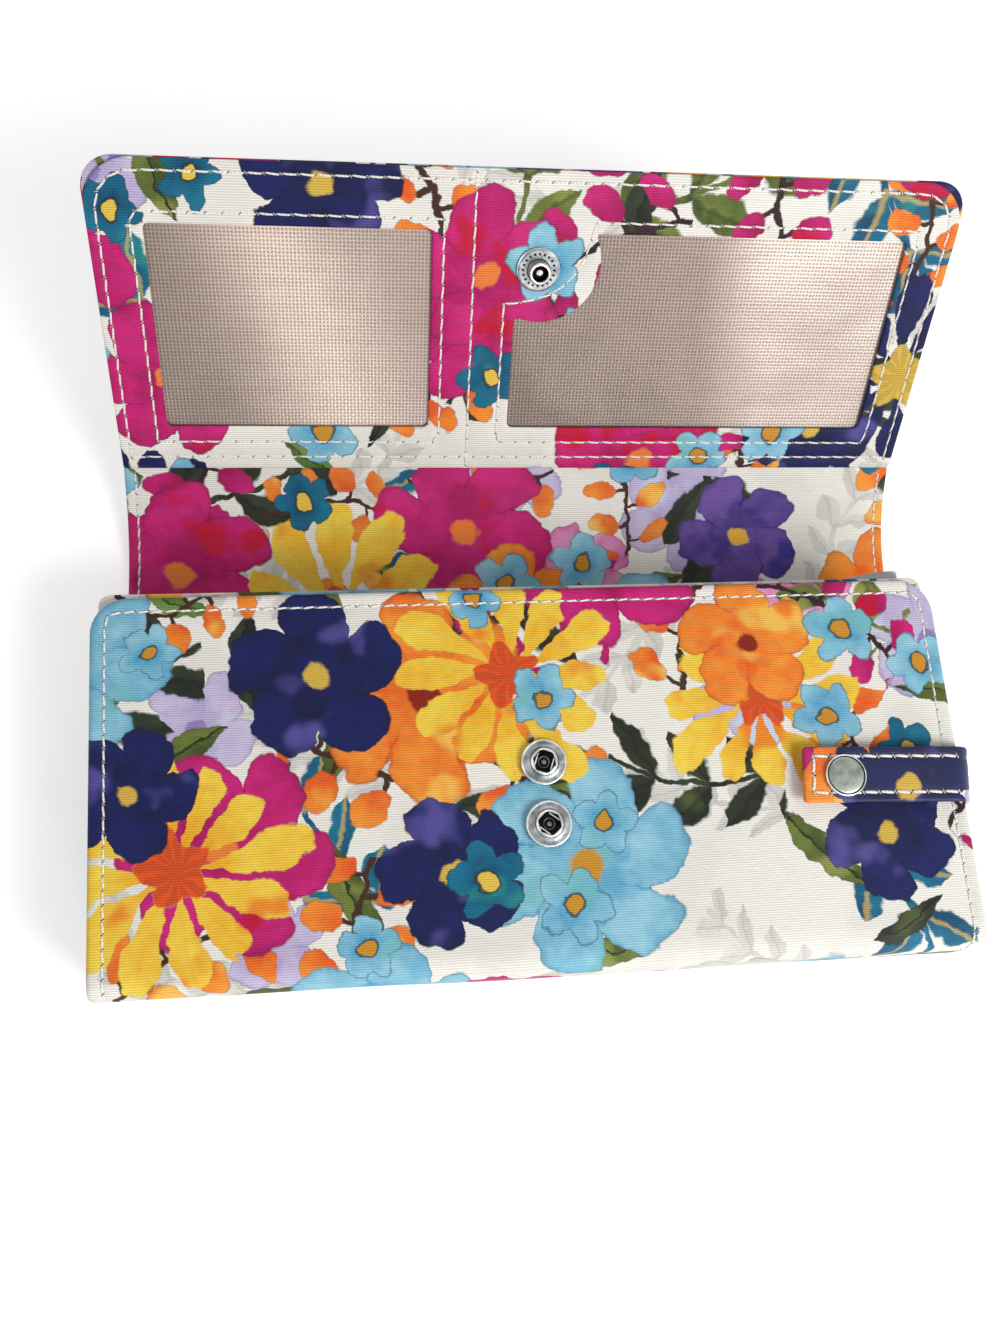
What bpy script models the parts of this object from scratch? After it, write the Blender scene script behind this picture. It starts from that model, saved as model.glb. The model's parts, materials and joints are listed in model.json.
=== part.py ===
"""A fabric clutch wallet lying open on its back: a printed canvas case whose flap, with two mesh
windows and a snap stud, stands half open, and whose front cover is held down by a side tab.

Lengths are in metres and angles in degrees. The wallet frame has x along the width, y from the
bottom fold towards the flap, and z up from the surface that the back lies on. Every panel is built
flat in the frame of the fold that carries it, with y away from the fold and z across the sheets.
"""

import math

import bmesh
import bpy
from mathutils import Vector

# Panels
WALLET_WIDTH = 0.189
BACK_HEIGHT = 0.093
FRONT_HEIGHT = 0.0835
STUD_EDGE_MARGIN = 0.0205
FRONT_TOP_CORNER = 0.010
BOTTOM_CORNER = 0.0035
FLAP_CORNER = 0.007

# Folded strips between the panels
SPINE_SPARE = 0.0017
SPINE_SAG = 0.0027
BOTTOM_SAG = 0.0018
STRIP_HEM = 0.002

# Fold angles of the open wallet and of the closed one, from the surface it lies on
SPINE_REST_DEG = 19.6
SPINE_CLOSED_DEG = 89.6
FLAP_REST_DEG = 52.0
FLAP_CLOSED_DEG = 177.0

# Sheets
CANVAS = 0.0006
LINING = 0.0005
STIFFENER = 0.0008
FRAME_CANVAS = 0.0007
WINDOW_MESH = 0.00035
POCKET_SPACE = 0.0006
FLAP_STIFFENER = 0.0006
GAP = 0.0003

# Windows of the flap
WINDOW_SIDE_MARGIN = 0.0114
WINDOW_FOLD_MARGIN = 0.0108
WINDOW_FREE_MARGIN = 0.0128
WINDOW_POST_WIDTH = 0.0187
LARGE_WINDOW_PAST_MIDDLE = 0.0046
WINDOW_CORNER = 0.0008
MESH_OVERLAP = 0.003
TONGUE_RADIUS = 0.013
TONGUE_OFFSET_X = 0.0009
TONGUE_OFFSET_Y = 0.0011
FLAP_FACE = 0.0009

# Snaps
UPPER_SOCKET_DROP = 0.0397
SOCKET_SPACING = 0.0133
SOCKET_RADIUS = 0.005
SOCKET_HEIGHT = 0.0016
SOCKET_HOLE = 0.0022
SPRING_PLAY = 0.00033
SPRING_CAVITY_FLOOR = 0.00035
SPRING_CAVITY_TOP = 0.00105
SPRING_WIRE = 0.00022
SPRING_HALF_WIDTH = 0.00195
SPRING_HALF_STRAIGHT = 0.0011
RIVET_HEAD_RADIUS = 0.004
RIVET_HEAD = 0.0005
RIVET_POST_RADIUS = 0.0012
SOCKET_POST_RISE = 0.0006
STUD_FLANGE_RADIUS = 0.005
STUD_FLANGE = 0.0006
STUD_NECK_RADIUS = 0.0015
STUD_BULB_RADIUS = 0.0017
STUD_BORE = 0.0009
STUD_HEIGHT = 0.0034
STUD_POST_RADIUS = 0.0005

# Side tab
TAB_WIDTH = 0.0116
TAB_LENGTH = 0.0395
TAB_THICKNESS = 0.0012
TAB_DROP = 0.046
TAB_SNAP_INSET = 0.0094
TAB_FOOT_RISE = 0.0008
TAB_CAP_RADIUS = 0.0047
TAB_CAP_HEIGHT = 0.0009
TAB_SOCKET_RADIUS = 0.0042
TAB_SOCKET_HEIGHT = 0.0008
TAB_STUD_RADIUS = 0.0016
TAB_STUD_HEIGHT = 0.0014
TAB_STUD_FLANGE_RADIUS = 0.004
TAB_STUD_FLANGE = 0.0003

# Pockets between the back and the front cover
BILL_SPACE = 0.0048
BILL_SIDE_INSET = 0.003
BILL_FOLD_INSET = 0.003
BILL_TOP_DROP = 0.0078
POUCH_SPACE = 0.0058
POUCH_SIDE_INSET = 0.004
POUCH_FOLD_INSET = 0.004
POUCH_FRONT_DROP = 0.0087
POUCH_REAR_DROP = 0.010
CARD_SPACE = 0.005
REAR_SLOT_COUNT = 3
FRONT_SLOT_COUNT = 2
SLOT_SIDE_INSET = 0.0065
SLOT_FOLD_INSET = 0.006
SLOT_STEP = 0.012
REAR_SLOT_DROP = 0.023
FRONT_SLOT_DROP = 0.0175
SLOT_CORNER = 0.0015

# Zipper of the coin pouch
ZIPPER_BELOW_MOUTH = 0.0055
TAPE = 0.0005
TAPE_FLANGE = 0.005
CHAIN_HALF_WIDTH = 0.001
CHAIN_HALF_THICKNESS = 0.0007
STOP_LENGTH = 0.002
STOP_PROUD = 0.0003
SLIDER_LENGTH = 0.0075
SLIDER_PLATE = 0.0006
SLIDER_SKIRT = 0.0006
BRIDGE_WIDTH = 0.0012
BRIDGE_LENGTH = 0.0056
BRIDGE_WIRE = 0.0006
PULL_LENGTH = 0.0135
PULL_WIDTH = 0.0046
PULL_THICKNESS = 0.0008
PULL_EYE_LENGTH = 0.0052
PULL_ARM = 0.0008
PULL_HOLE_RADIUS = 0.0011
PULL_END_PLAY = 0.00255

# How finely round shapes are cut, and how far a cutter runs past what it cuts
ARC_STEPS = 6
STRIP_STEPS = 10
BEAD_STEPS = 6
TURN_STEPS = 24
WIRE_STEPS = 8
OVERRUN = 0.001
MERGE_DISTANCE = 0.000003
SHARP_EDGE_DEG = 40

# Profiles, as shares of the radius and the height of the piece that they belong to
SOCKET_CROWN_SHARES = ((1.0, 0.0), (1.0, 0.22), (0.92, 0.56), (0.74, 0.88), (0.58, 1.0), (0.49, 0.94))
CAP_CROWN_SHARES = ((1.0, 0.0), (1.0, 0.35), (0.93, 0.66), (0.72, 0.88), (0.4, 0.98), (0.0, 1.0))
STUD_FLANGE_SHARES = ((1.0, 0.0), (1.0, 0.4), (0.9, 0.9), (0.7, 1.0))

# Colours and surface values read by eye from the photograph
PRINT_COLOURS = {
    "back": (0.74, 0.10, 0.36),
    "front": (0.90, 0.88, 0.84),
    "flap": (0.20, 0.47, 0.62),
    "spine": (0.86, 0.62, 0.18),
    "tab": (0.07, 0.10, 0.30),
}
LINING_COLOUR = (0.55, 0.54, 0.53)
MESH_COLOUR = (0.74, 0.64, 0.59)
BOARD_COLOUR = (0.80, 0.78, 0.72)
STEEL_COLOUR = (0.62, 0.61, 0.59)
ZIPPER_COLOUR = (0.30, 0.30, 0.32)

# Places worked out from the sizes above
HALF_WIDTH = WALLET_WIDTH / 2
PANEL = CANVAS + GAP + STIFFENER + GAP + LINING
BEAD = (CANVAS + GAP + LINING) / 2
FOLD_CLEAR = BEAD + GAP
RIM_INSET = CANVAS + GAP
SLOT_PITCH = GAP + LINING
FOLD_LEVEL = PANEL / 2
BILL_PANEL_Z = PANEL + BILL_SPACE
POUCH_REAR_Z = BILL_PANEL_Z + LINING + GAP
POUCH_FLOOR_Z = POUCH_REAR_Z + LINING
POUCH_FRONT_Z = POUCH_FLOOR_Z + POUCH_SPACE
REAR_SLOTS_Z = POUCH_FRONT_Z + CANVAS
FRONT_SLOTS_Z = REAR_SLOTS_Z + (REAR_SLOT_COUNT + FRONT_SLOT_COUNT) * SLOT_PITCH + CARD_SPACE
BLOCK_THICKNESS = FRONT_SLOTS_Z + PANEL
FRONT_LEVEL = BLOCK_THICKNESS - FOLD_LEVEL
BILL_HEIGHT = BACK_HEIGHT - BILL_TOP_DROP
POUCH_FRONT_HEIGHT = BACK_HEIGHT - POUCH_FRONT_DROP
POUCH_REAR_HEIGHT = BACK_HEIGHT - POUCH_REAR_DROP
REAR_SLOT_HEIGHT = BACK_HEIGHT - REAR_SLOT_DROP
FRONT_SLOT_HEIGHT = FRONT_HEIGHT - FRONT_SLOT_DROP
UPPER_SOCKET_Y = FRONT_HEIGHT - UPPER_SOCKET_DROP
LOWER_SOCKET_Y = UPPER_SOCKET_Y - SOCKET_SPACING
SPRING_CAVITY_RADIUS = SPRING_HALF_STRAIGHT + SPRING_HALF_WIDTH + SPRING_WIRE + SPRING_PLAY
TAB_Y = FRONT_HEIGHT - TAB_DROP
TAB_STANDOFF = GAP + TAB_STUD_HEIGHT + GAP
TAB_FOLD_X = HALF_WIDTH + GAP + TAB_THICKNESS / 2
TAB_FOLD_Z = BLOCK_THICKNESS + TAB_STANDOFF + TAB_THICKNESS / 2
TAB_SNAP_X = TAB_FOLD_X - TAB_LENGTH + TAB_SNAP_INSET
ZIPPER_Z = POUCH_FLOOR_Z + POUCH_SPACE / 2
ZIPPER_HEIGHT = POUCH_REAR_HEIGHT - ZIPPER_BELOW_MOUTH
# At each end of its way the slider leaves room for the pull inside the pouch's side wall
SLIDE_REACH = HALF_WIDTH - POUCH_SIDE_INSET - LINING - PULL_LENGTH - PULL_END_PLAY
CHAIN_HALF_LENGTH = SLIDE_REACH + SLIDER_LENGTH / 2 + GAP
SPINE_CHORD = BLOCK_THICKNESS + SPINE_SPARE


def unit(degrees):
    """Direction in the yz plane at an angle from +y."""
    return Vector((0, math.cos(math.radians(degrees)), math.sin(math.radians(degrees))))


SPINE_FOLD = Vector((0, BACK_HEIGHT, FOLD_LEVEL))
FLAP_FOLD = SPINE_FOLD + SPINE_CHORD * unit(SPINE_REST_DEG)
FLAP_FOLD_CLOSED = SPINE_FOLD + SPINE_CHORD * unit(SPINE_CLOSED_DEG)
FLAP_DEPTH = (
    FRAME_CANVAS + GAP + WINDOW_MESH + POCKET_SPACE + LINING + GAP + FLAP_STIFFENER + GAP + CANVAS
)
FLAP_OUTER_FACE = FLAP_FACE - FLAP_DEPTH
FRAME_UNDERSIDE = FLAP_FACE - FRAME_CANVAS
# The stud sits where it meets the upper socket once the flap is closed
STUD_FROM_FOLD_Y = UPPER_SOCKET_Y - FLAP_FOLD_CLOSED.y - FLAP_FACE * unit(FLAP_CLOSED_DEG - 90).y
STUD_V = STUD_FROM_FOLD_Y / unit(FLAP_CLOSED_DEG).y
FLAP_LENGTH = STUD_V + STUD_EDGE_MARGIN

# The frame's origin lies under the middle of the box round the open wallet
X_HIGH = TAB_FOLD_X + TAB_THICKNESS / 2
Y_LOW = -BOTTOM_SAG - BEAD
Y_HIGH = (FLAP_FOLD + FLAP_LENGTH * unit(FLAP_REST_DEG) + FLAP_OUTER_FACE * unit(FLAP_REST_DEG + 90)).y
ORIGIN_SHIFT = Vector((-(X_HIGH - HALF_WIDTH) / 2, -(Y_LOW + Y_HIGH) / 2, 0))


def clear_scene():
    for obj in list(bpy.data.objects):
        bpy.data.objects.remove(obj)


def axis_empty(name, parent, place, turn_deg=0.0):
    """An empty that carries what turns or slides about its x axis or place."""
    empty = bpy.data.objects.new(name, None)
    bpy.context.scene.collection.objects.link(empty)
    empty.parent = parent
    empty.location = place
    empty.rotation_euler = (math.radians(turn_deg), 0, 0)
    return empty


def finish(obj, colour, roughness=0.6, metallic=0.0):
    material = bpy.data.materials.new(obj.name + "_finish")
    material.use_nodes = True
    shader = material.node_tree.nodes["Principled BSDF"]
    shader.inputs["Base Color"].default_value = (*colour, 1)
    shader.inputs["Roughness"].default_value = roughness
    shader.inputs["Metallic"].default_value = metallic
    obj.data.materials.append(material)
    return obj


def object_from(name, bm, parent, place=(0, 0, 0)):
    bmesh.ops.recalc_face_normals(bm, faces=bm.faces)
    mesh = bpy.data.meshes.new(name)
    bm.to_mesh(mesh)
    bm.free()
    obj = bpy.data.objects.new(name, mesh)
    bpy.context.scene.collection.objects.link(obj)
    obj.parent = parent
    obj.location = place
    return obj


def rounded_outline(x_low, x_high, y_low, y_high, low_radius, high_radius):
    """A rectangle whose two low corners and two high corners are rounded, anticlockwise."""
    corners = (
        (x_high, y_low, -1, 1, low_radius, -90),
        (x_high, y_high, -1, -1, high_radius, 0),
        (x_low, y_high, 1, -1, high_radius, 90),
        (x_low, y_low, 1, 1, low_radius, 180),
    )
    points = []
    for x, y, x_in, y_in, radius, start in corners:
        if radius <= 0:
            points.append((x, y))
            continue
        for step in range(ARC_STEPS + 1):
            a = math.radians(start + 90 * step / ARC_STEPS)
            points.append(
                (x + radius * (x_in + math.cos(a)), y + radius * (y_in + math.sin(a)))
            )
    return points


def prism(name, outline, low, high, parent, across="z", place=(0, 0, 0)):
    """The outline pushed from low to high along z, or along x or y for a cross-section."""
    put = {
        "z": lambda p, t: (p[0], p[1], t),
        "x": lambda p, t: (t, p[0], p[1]),
        "y": lambda p, t: (p[0], t, p[1]),
    }[across]
    bm = bmesh.new()
    face = bm.faces.new([bm.verts.new(put(p, low)) for p in outline])
    pushed = bmesh.ops.extrude_face_region(bm, geom=[face])
    travel = Vector(put((0, 0), high)) - Vector(put((0, 0), low))
    moved = [v for v in pushed["geom"] if isinstance(v, bmesh.types.BMVert)]
    bmesh.ops.translate(bm, vec=travel, verts=moved)
    return object_from(name, bm, parent, place)


def block(name, low, high, parent, place=(0, 0, 0)):
    outline = rounded_outline(low[0], high[0], low[1], high[1], 0, 0)
    return prism(name, outline, low[2], high[2], parent, place=place)


def turned(name, profile, parent, place=(0, 0, 0)):
    """A closed (radius, z) profile turned about z."""
    bm = bmesh.new()
    ring = [bm.verts.new((r, 0, z)) for r, z in profile]
    edges = [bm.edges.new(pair) for pair in zip(ring, ring[1:] + ring[:1])]
    bmesh.ops.spin(
        bm,
        geom=ring + edges,
        cent=(0, 0, 0),
        axis=(0, 0, 1),
        angle=math.tau,
        steps=TURN_STEPS,
        use_merge=True,
    )
    bmesh.ops.remove_doubles(bm, verts=bm.verts, dist=MERGE_DISTANCE)
    loose = [e for e in bm.edges if not e.link_faces]
    bmesh.ops.delete(bm, geom=loose, context="EDGES")
    obj = object_from(name, bm, parent, place)
    obj.data.shade_smooth()
    obj.data.set_sharp_from_angle(angle=math.radians(SHARP_EDGE_DEG))
    return obj


def join_to(target, tool, operation):
    """A Boolean on target whose tool isn't part of the wallet."""
    tool.hide_render = True
    tool.display_type = "WIRE"
    modifier = target.modifiers.new(tool.name, "BOOLEAN")
    modifier.operation = operation
    modifier.solver = "EXACT"
    modifier.object = tool
    return target


def cut(target, tool):
    return join_to(target, tool, "DIFFERENCE")


def cut_round_hole(target, name, radius, place):
    """A round hole right through a sheet; the cutter is longer than any sheet stack."""
    reach = BLOCK_THICKNESS
    profile = ((0, -reach), (radius, -reach), (radius, reach), (0, reach))
    return cut(target, turned(f"{target.name}_{name}_cutter", profile, target.parent, place))


def panel_outline(y_low, y_high, inset, low_radius, high_radius):
    return rounded_outline(
        -HALF_WIDTH + inset,
        HALF_WIDTH - inset,
        y_low + inset,
        y_high - inset,
        max(low_radius - inset, 0),
        max(high_radius - inset, 0),
    )


def canvas_tray(name, y_low, y_high, corners, plate, rim, parent, colour):
    """A canvas panel between two levels with its edges turned in as a rim, open on the lining side."""
    low, high = min(plate + rim), max(plate + rim)
    tray = prism(name, panel_outline(y_low, y_high, 0, *corners), low, high, parent)
    open_low, open_high = (plate[1], high + OVERRUN) if plate[0] == low else (low - OVERRUN, plate[0])
    hollow = panel_outline(y_low, y_high, CANVAS, *corners)
    cut(tray, prism(name + "_hollow_cutter", hollow, open_low, open_high, parent))
    return finish(tray, colour)


def inner_sheet(name, y_low, y_high, corners, low, high, parent, colour, roughness=0.6):
    sheet = prism(name, panel_outline(y_low, y_high, RIM_INSET, *corners), low, high, parent)
    return finish(sheet, colour, roughness)


def strip_point(chord, sag, share, offset, side):
    """A point of a bowed strip: share runs from -1 at its first fold to 1 at its second, and offset
    goes from the middle of its thickness towards the hollow of the bow, which faces side."""
    radius = (chord * chord / 4 + sag * sag) / (2 * sag)
    half_turn = math.asin(chord / 2 / radius)
    a = half_turn * share
    y = chord / 2 + (radius - offset) * math.sin(a)
    return y, side * ((radius - sag) - (radius - offset) * math.cos(a))


def strip_end(chord, sag, end, side):
    """The round bead at one end of a strip, from its outer to its hollow side."""
    outer = Vector(strip_point(chord, sag, end, -BEAD, side))
    middle = Vector(strip_point(chord, sag, end, 0, side))
    across = outer - middle
    along = Vector((across.y, -across.x)) * end * side
    points = []
    for step in range(1, BEAD_STEPS):
        a = math.pi * step / BEAD_STEPS
        points.append(tuple(middle + across * math.cos(a) + along * math.sin(a)))
    return points


def strip_run(chord, sag, first, last, offset, side):
    shares = [first + (last - first) * step / STRIP_STEPS for step in range(STRIP_STEPS + 1)]
    return [strip_point(chord, sag, share, offset, side) for share in shares]


def folded_strip(kind, chord, sag, side, parent, colour, lining_colour):
    """A bowed strip of canvas with full thickness hems at its folds, and the lining between them."""
    hem = 1 - 2 * STRIP_HEM / chord
    lining_end = 1 - 2 * (STRIP_HEM + GAP) / chord
    section = strip_run(chord, sag, -1, 1, -BEAD, side)
    section += strip_end(chord, sag, 1, side)
    section += [strip_point(chord, sag, share, BEAD, side) for share in (1, hem)]
    section += strip_run(chord, sag, hem, -hem, CANVAS - BEAD, side)
    section += [strip_point(chord, sag, share, BEAD, side) for share in (-hem, -1)]
    section += list(reversed(strip_end(chord, sag, -1, side)))
    canvas = prism(kind + "_canvas", section, -HALF_WIDTH, HALF_WIDTH, parent, "x")
    finish(canvas, colour)
    inside = strip_run(chord, sag, -lining_end, lining_end, BEAD - LINING, side)
    inside += strip_run(chord, sag, lining_end, -lining_end, BEAD, side)
    reach = HALF_WIDTH - RIM_INSET
    finish(prism(kind + "_lining", inside, -reach, reach, parent, "x"), lining_colour)


def rivet(name, parent, place, post_radius, post_rise):
    """A head under a sheet with a post up through it, placed by the middle of the head's top."""
    profile = (
        (0, -RIVET_HEAD),
        (RIVET_HEAD_RADIUS, -RIVET_HEAD),
        (RIVET_HEAD_RADIUS, 0),
        (post_radius, 0),
        (post_radius, post_rise),
        (0, post_rise),
    )
    return finish(turned(name, profile, parent, place), STEEL_COLOUR, 0.35, 1.0)


def snap_socket(name, parent, place):
    """A ring with a crowned flange, a round mouth and a groove inside for its spring."""
    profile = [(r * SOCKET_RADIUS, z * SOCKET_HEIGHT) for r, z in SOCKET_CROWN_SHARES]
    profile += [
        (SOCKET_HOLE, SPRING_CAVITY_TOP + SPRING_WIRE),
        (SOCKET_HOLE, SPRING_CAVITY_TOP),
        (SPRING_CAVITY_RADIUS, SPRING_CAVITY_TOP),
        (SPRING_CAVITY_RADIUS, SPRING_CAVITY_FLOOR),
        (SOCKET_HOLE, SPRING_CAVITY_FLOOR),
        (SOCKET_HOLE, 0),
    ]
    return finish(turned(name, profile, parent, place), STEEL_COLOUR, 0.3, 1.0)


def socket_spring(name, parent, place):
    """A closed loop of wire with two straight sides, which grip the stud's neck."""
    path = []
    for end in (1, -1):
        for step in range(ARC_STEPS + 1):
            a = math.radians(90 - end * 90 + 180 * step / ARC_STEPS)
            y = end * SPRING_HALF_STRAIGHT + SPRING_HALF_WIDTH * math.sin(a)
            path.append((SPRING_HALF_WIDTH * math.cos(a), y))
    bm = bmesh.new()
    rings = []
    for i, (x, y) in enumerate(path):
        before, after = Vector(path[i - 1]), Vector(path[(i + 1) % len(path)])
        out = Vector((after.y - before.y, before.x - after.x)).normalized()
        turn = [math.tau * k / WIRE_STEPS for k in range(WIRE_STEPS)]
        rings.append(
            [
                bm.verts.new(
                    (
                        x + SPRING_WIRE * math.cos(a) * out.x,
                        y + SPRING_WIRE * math.cos(a) * out.y,
                        SPRING_WIRE * math.sin(a),
                    )
                )
                for a in turn
            ]
        )
    for ring, following in zip(rings, rings[1:] + rings[:1]):
        for k in range(WIRE_STEPS):
            j = (k + 1) % WIRE_STEPS
            bm.faces.new((ring[k], ring[j], following[j], following[k]))
    middle = (SPRING_CAVITY_FLOOR + SPRING_CAVITY_TOP) / 2
    return finish(
        object_from(name, bm, parent, Vector(place) + Vector((0, 0, middle))), STEEL_COLOUR, 0.3, 1.0
    )


def add_back(root):
    corners = (BOTTOM_CORNER, 0)
    ends = (FOLD_CLEAR, BACK_HEIGHT - FOLD_CLEAR)
    canvas_tray(
        "back_canvas", *ends, corners, (0, CANVAS), (0, PANEL), root, PRINT_COLOURS["back"]
    )
    board = CANVAS + GAP
    inner_sheet("back_stiffener", *ends, corners, board, board + STIFFENER, root, BOARD_COLOUR, 0.9)
    inner_sheet(
        "back_lining", *ends, corners, PANEL - LINING, PANEL, root, PRINT_COLOURS["spine"]
    )


def add_bill_pocket(root):
    """A lining panel on three low walls: the compartment is open towards the spine."""
    side, low_y = HALF_WIDTH - BILL_SIDE_INSET, BILL_FOLD_INSET
    top = BILL_PANEL_Z + LINING
    panel = block("bill_pocket_lining", (-side, low_y, PANEL + GAP), (side, BILL_HEIGHT, top), root)
    space = block(
        "bill_pocket_cutter",
        (-side + LINING, low_y + LINING, 0),
        (side - LINING, BILL_HEIGHT + OVERRUN, BILL_PANEL_Z),
        root,
    )
    finish(cut(panel, space), LINING_COLOUR, 0.55)


def add_coin_pouch(root):
    """Two facing trays whose low walls meet halfway; the zipper closes their open end."""
    side, low_y = HALF_WIDTH - POUCH_SIDE_INSET, POUCH_FOLD_INSET
    rear = block(
        "coin_pouch_rear",
        (-side, low_y, POUCH_REAR_Z),
        (side, POUCH_REAR_HEIGHT, ZIPPER_Z - GAP / 2),
        root,
    )
    rear_space = block(
        "coin_pouch_rear_cutter",
        (-side + LINING, low_y + LINING, POUCH_FLOOR_Z),
        (side - LINING, POUCH_REAR_HEIGHT + OVERRUN, POUCH_FRONT_Z),
        root,
    )
    finish(cut(rear, rear_space), LINING_COLOUR, 0.55)
    front = block(
        "coin_pouch_front",
        (-side, low_y, ZIPPER_Z + GAP / 2),
        (side, POUCH_FRONT_HEIGHT, POUCH_FRONT_Z + CANVAS),
        root,
    )
    front_space = block(
        "coin_pouch_front_cutter",
        (-side + LINING, low_y + LINING, POUCH_FLOOR_Z),
        (side - LINING, POUCH_FRONT_HEIGHT + OVERRUN, POUCH_FRONT_Z),
        root,
    )
    finish(cut(front, front_space), PRINT_COLOURS["flap"])


def add_zipper(root):
    """Tapes sewn to the pouch walls, the chain between them, and a slider with its pull on top."""
    for kind, facing in (("rear", -1), ("front", 1)):
        wall = facing * (POUCH_SPACE / 2 - GAP)
        edge = facing * (CHAIN_HALF_WIDTH + GAP)
        half = TAPE / 2
        section = (
            (-half, edge),
            (half, edge),
            (half, wall),
            (half - TAPE_FLANGE, wall),
            (half - TAPE_FLANGE, wall - facing * TAPE),
            (-half, wall - facing * TAPE),
        )
        reach = CHAIN_HALF_LENGTH + STOP_LENGTH
        tape = prism("zipper_tape_" + kind, section, -reach, reach, root, "x")
        tape.location = (0, ZIPPER_HEIGHT, ZIPPER_Z)
        finish(tape, ZIPPER_COLOUR, 0.8)
    centre = (0, ZIPPER_HEIGHT, ZIPPER_Z)
    size = Vector((CHAIN_HALF_LENGTH, CHAIN_HALF_THICKNESS, CHAIN_HALF_WIDTH))
    finish(block("zipper_chain", -size, size, root, centre), ZIPPER_COLOUR, 0.4)
    for kind, facing in (("left", -1), ("right", 1)):
        near = facing * (CHAIN_HALF_LENGTH + GAP)
        far = near + facing * STOP_LENGTH
        low = (min(near, far), TAPE / 2 + GAP, -CHAIN_HALF_WIDTH - STOP_PROUD)
        high = (max(near, far), CHAIN_HALF_THICKNESS + STOP_PROUD, CHAIN_HALF_WIDTH + STOP_PROUD)
        finish(block("zipper_stop_" + kind, low, high, root, centre), STEEL_COLOUR, 0.35, 1.0)

    slide = axis_empty("zipper_slide_axis", root, (SLIDE_REACH, ZIPPER_HEIGHT, ZIPPER_Z))
    plate_low = CHAIN_HALF_THICKNESS + GAP
    plate_high = plate_low + SLIDER_PLATE
    skirt = CHAIN_HALF_WIDTH + GAP + SLIDER_SKIRT
    half_slider = SLIDER_LENGTH / 2
    slider = block(
        "zipper_slider",
        (-half_slider, TAPE / 2 + GAP, -skirt),
        (half_slider, plate_high, skirt),
        slide,
    )
    groove = CHAIN_HALF_WIDTH + GAP
    channel = block(
        "slider_channel_cutter",
        (-SLIDER_LENGTH, 0, -groove),
        (SLIDER_LENGTH, plate_low, groove),
        slide,
    )
    cut(slider, channel)
    # The pull's bar lies under the bridge, clear of the plate and of the bridge
    bar_y = plate_high + GAP + PULL_THICKNESS / 2
    crown_y = bar_y + PULL_THICKNESS / 2 + GAP + BRIDGE_WIRE
    bridge_half = BRIDGE_LENGTH / 2
    bridge = block(
        "slider_bridge_tool",
        (-bridge_half, plate_high - SLIDER_PLATE / 2, -BRIDGE_WIDTH / 2),
        (bridge_half, crown_y, BRIDGE_WIDTH / 2),
        slide,
    )
    join_to(slider, bridge, "UNION")
    arch = block(
        "slider_arch_cutter",
        (-bridge_half + BRIDGE_WIRE, plate_high, -BRIDGE_WIDTH),
        (bridge_half - BRIDGE_WIRE, crown_y - BRIDGE_WIRE, BRIDGE_WIDTH),
        slide,
    )
    finish(cut(slider, arch), STEEL_COLOUR, 0.3, 1.0)

    swing = axis_empty("zipper_pull_axis", slide, (0, bar_y, 0))
    half_bar = PULL_THICKNESS / 2
    outline = rounded_outline(
        -PULL_LENGTH + half_bar, half_bar, -PULL_WIDTH / 2, PULL_WIDTH / 2, half_bar, half_bar
    )
    pull = prism("zipper_pull", outline, -half_bar, half_bar, swing)
    eye = block(
        "pull_eye_cutter",
        (-half_bar - PULL_EYE_LENGTH, -PULL_WIDTH / 2 + PULL_ARM, -PULL_WIDTH),
        (-half_bar, PULL_WIDTH / 2 - PULL_ARM, PULL_WIDTH),
        swing,
    )
    cut(pull, eye)
    hole_x = -PULL_LENGTH + PULL_WIDTH / 2 + half_bar
    hole_profile = (
        (0, -PULL_WIDTH),
        (PULL_HOLE_RADIUS, -PULL_WIDTH),
        (PULL_HOLE_RADIUS, PULL_WIDTH),
        (0, PULL_WIDTH),
    )
    cut(pull, turned("pull_hole_cutter", hole_profile, swing, (hole_x, 0, 0)))
    swing.rotation_euler = (math.radians(90), 0, 0)
    finish(pull, STEEL_COLOUR, 0.3, 1.0)


def add_card_slots(name, count, height, level, step_z, parent):
    """Stepped panels, the tallest against what carries them, each a little shorter than the last."""
    side = HALF_WIDTH - SLOT_SIDE_INSET
    for i in range(count):
        near = level + step_z * (GAP + i * SLOT_PITCH)
        far = near + step_z * LINING
        outline = rounded_outline(
            -side, side, SLOT_FOLD_INSET, height - i * SLOT_STEP, SLOT_CORNER, SLOT_CORNER
        )
        panel = prism(f"{name}_{i + 1}", outline, min(near, far), max(near, far), parent)
        finish(panel, LINING_COLOUR, 0.55)


def window_outline(x_low, width, grow, tongue):
    """A window of the flap, grown on every side, less the round tongue that carries the stud."""
    y_low = FOLD_CLEAR + WINDOW_FOLD_MARGIN - grow
    y_high = FLAP_LENGTH - WINDOW_FREE_MARGIN + grow
    x_high = x_low + width + grow
    x_low = x_low - grow
    points = rounded_outline(x_low, x_high, y_low, y_high, WINDOW_CORNER, WINDOW_CORNER)
    if not tongue:
        return points
    radius = TONGUE_RADIUS - grow
    centre = Vector((TONGUE_OFFSET_X, STUD_V + TONGUE_OFFSET_Y))
    start = math.acos((y_high - centre.y) / radius)
    end = math.pi - math.asin((x_low - centre.x) / radius)
    arc = []
    for step in range(TURN_STEPS // 2 + 1):
        a = start + (end - start) * step / (TURN_STEPS // 2)
        arc.append((centre.x + radius * math.sin(a), centre.y + radius * math.cos(a)))
    kept = [p for p in points if not (p[0] < centre.x + radius and p[1] > centre.y - radius / 2)]
    split = next(i for i, p in enumerate(kept) if p[0] < centre.x and p[1] < centre.y)
    return kept[:split] + arc + kept[split:]


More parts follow.
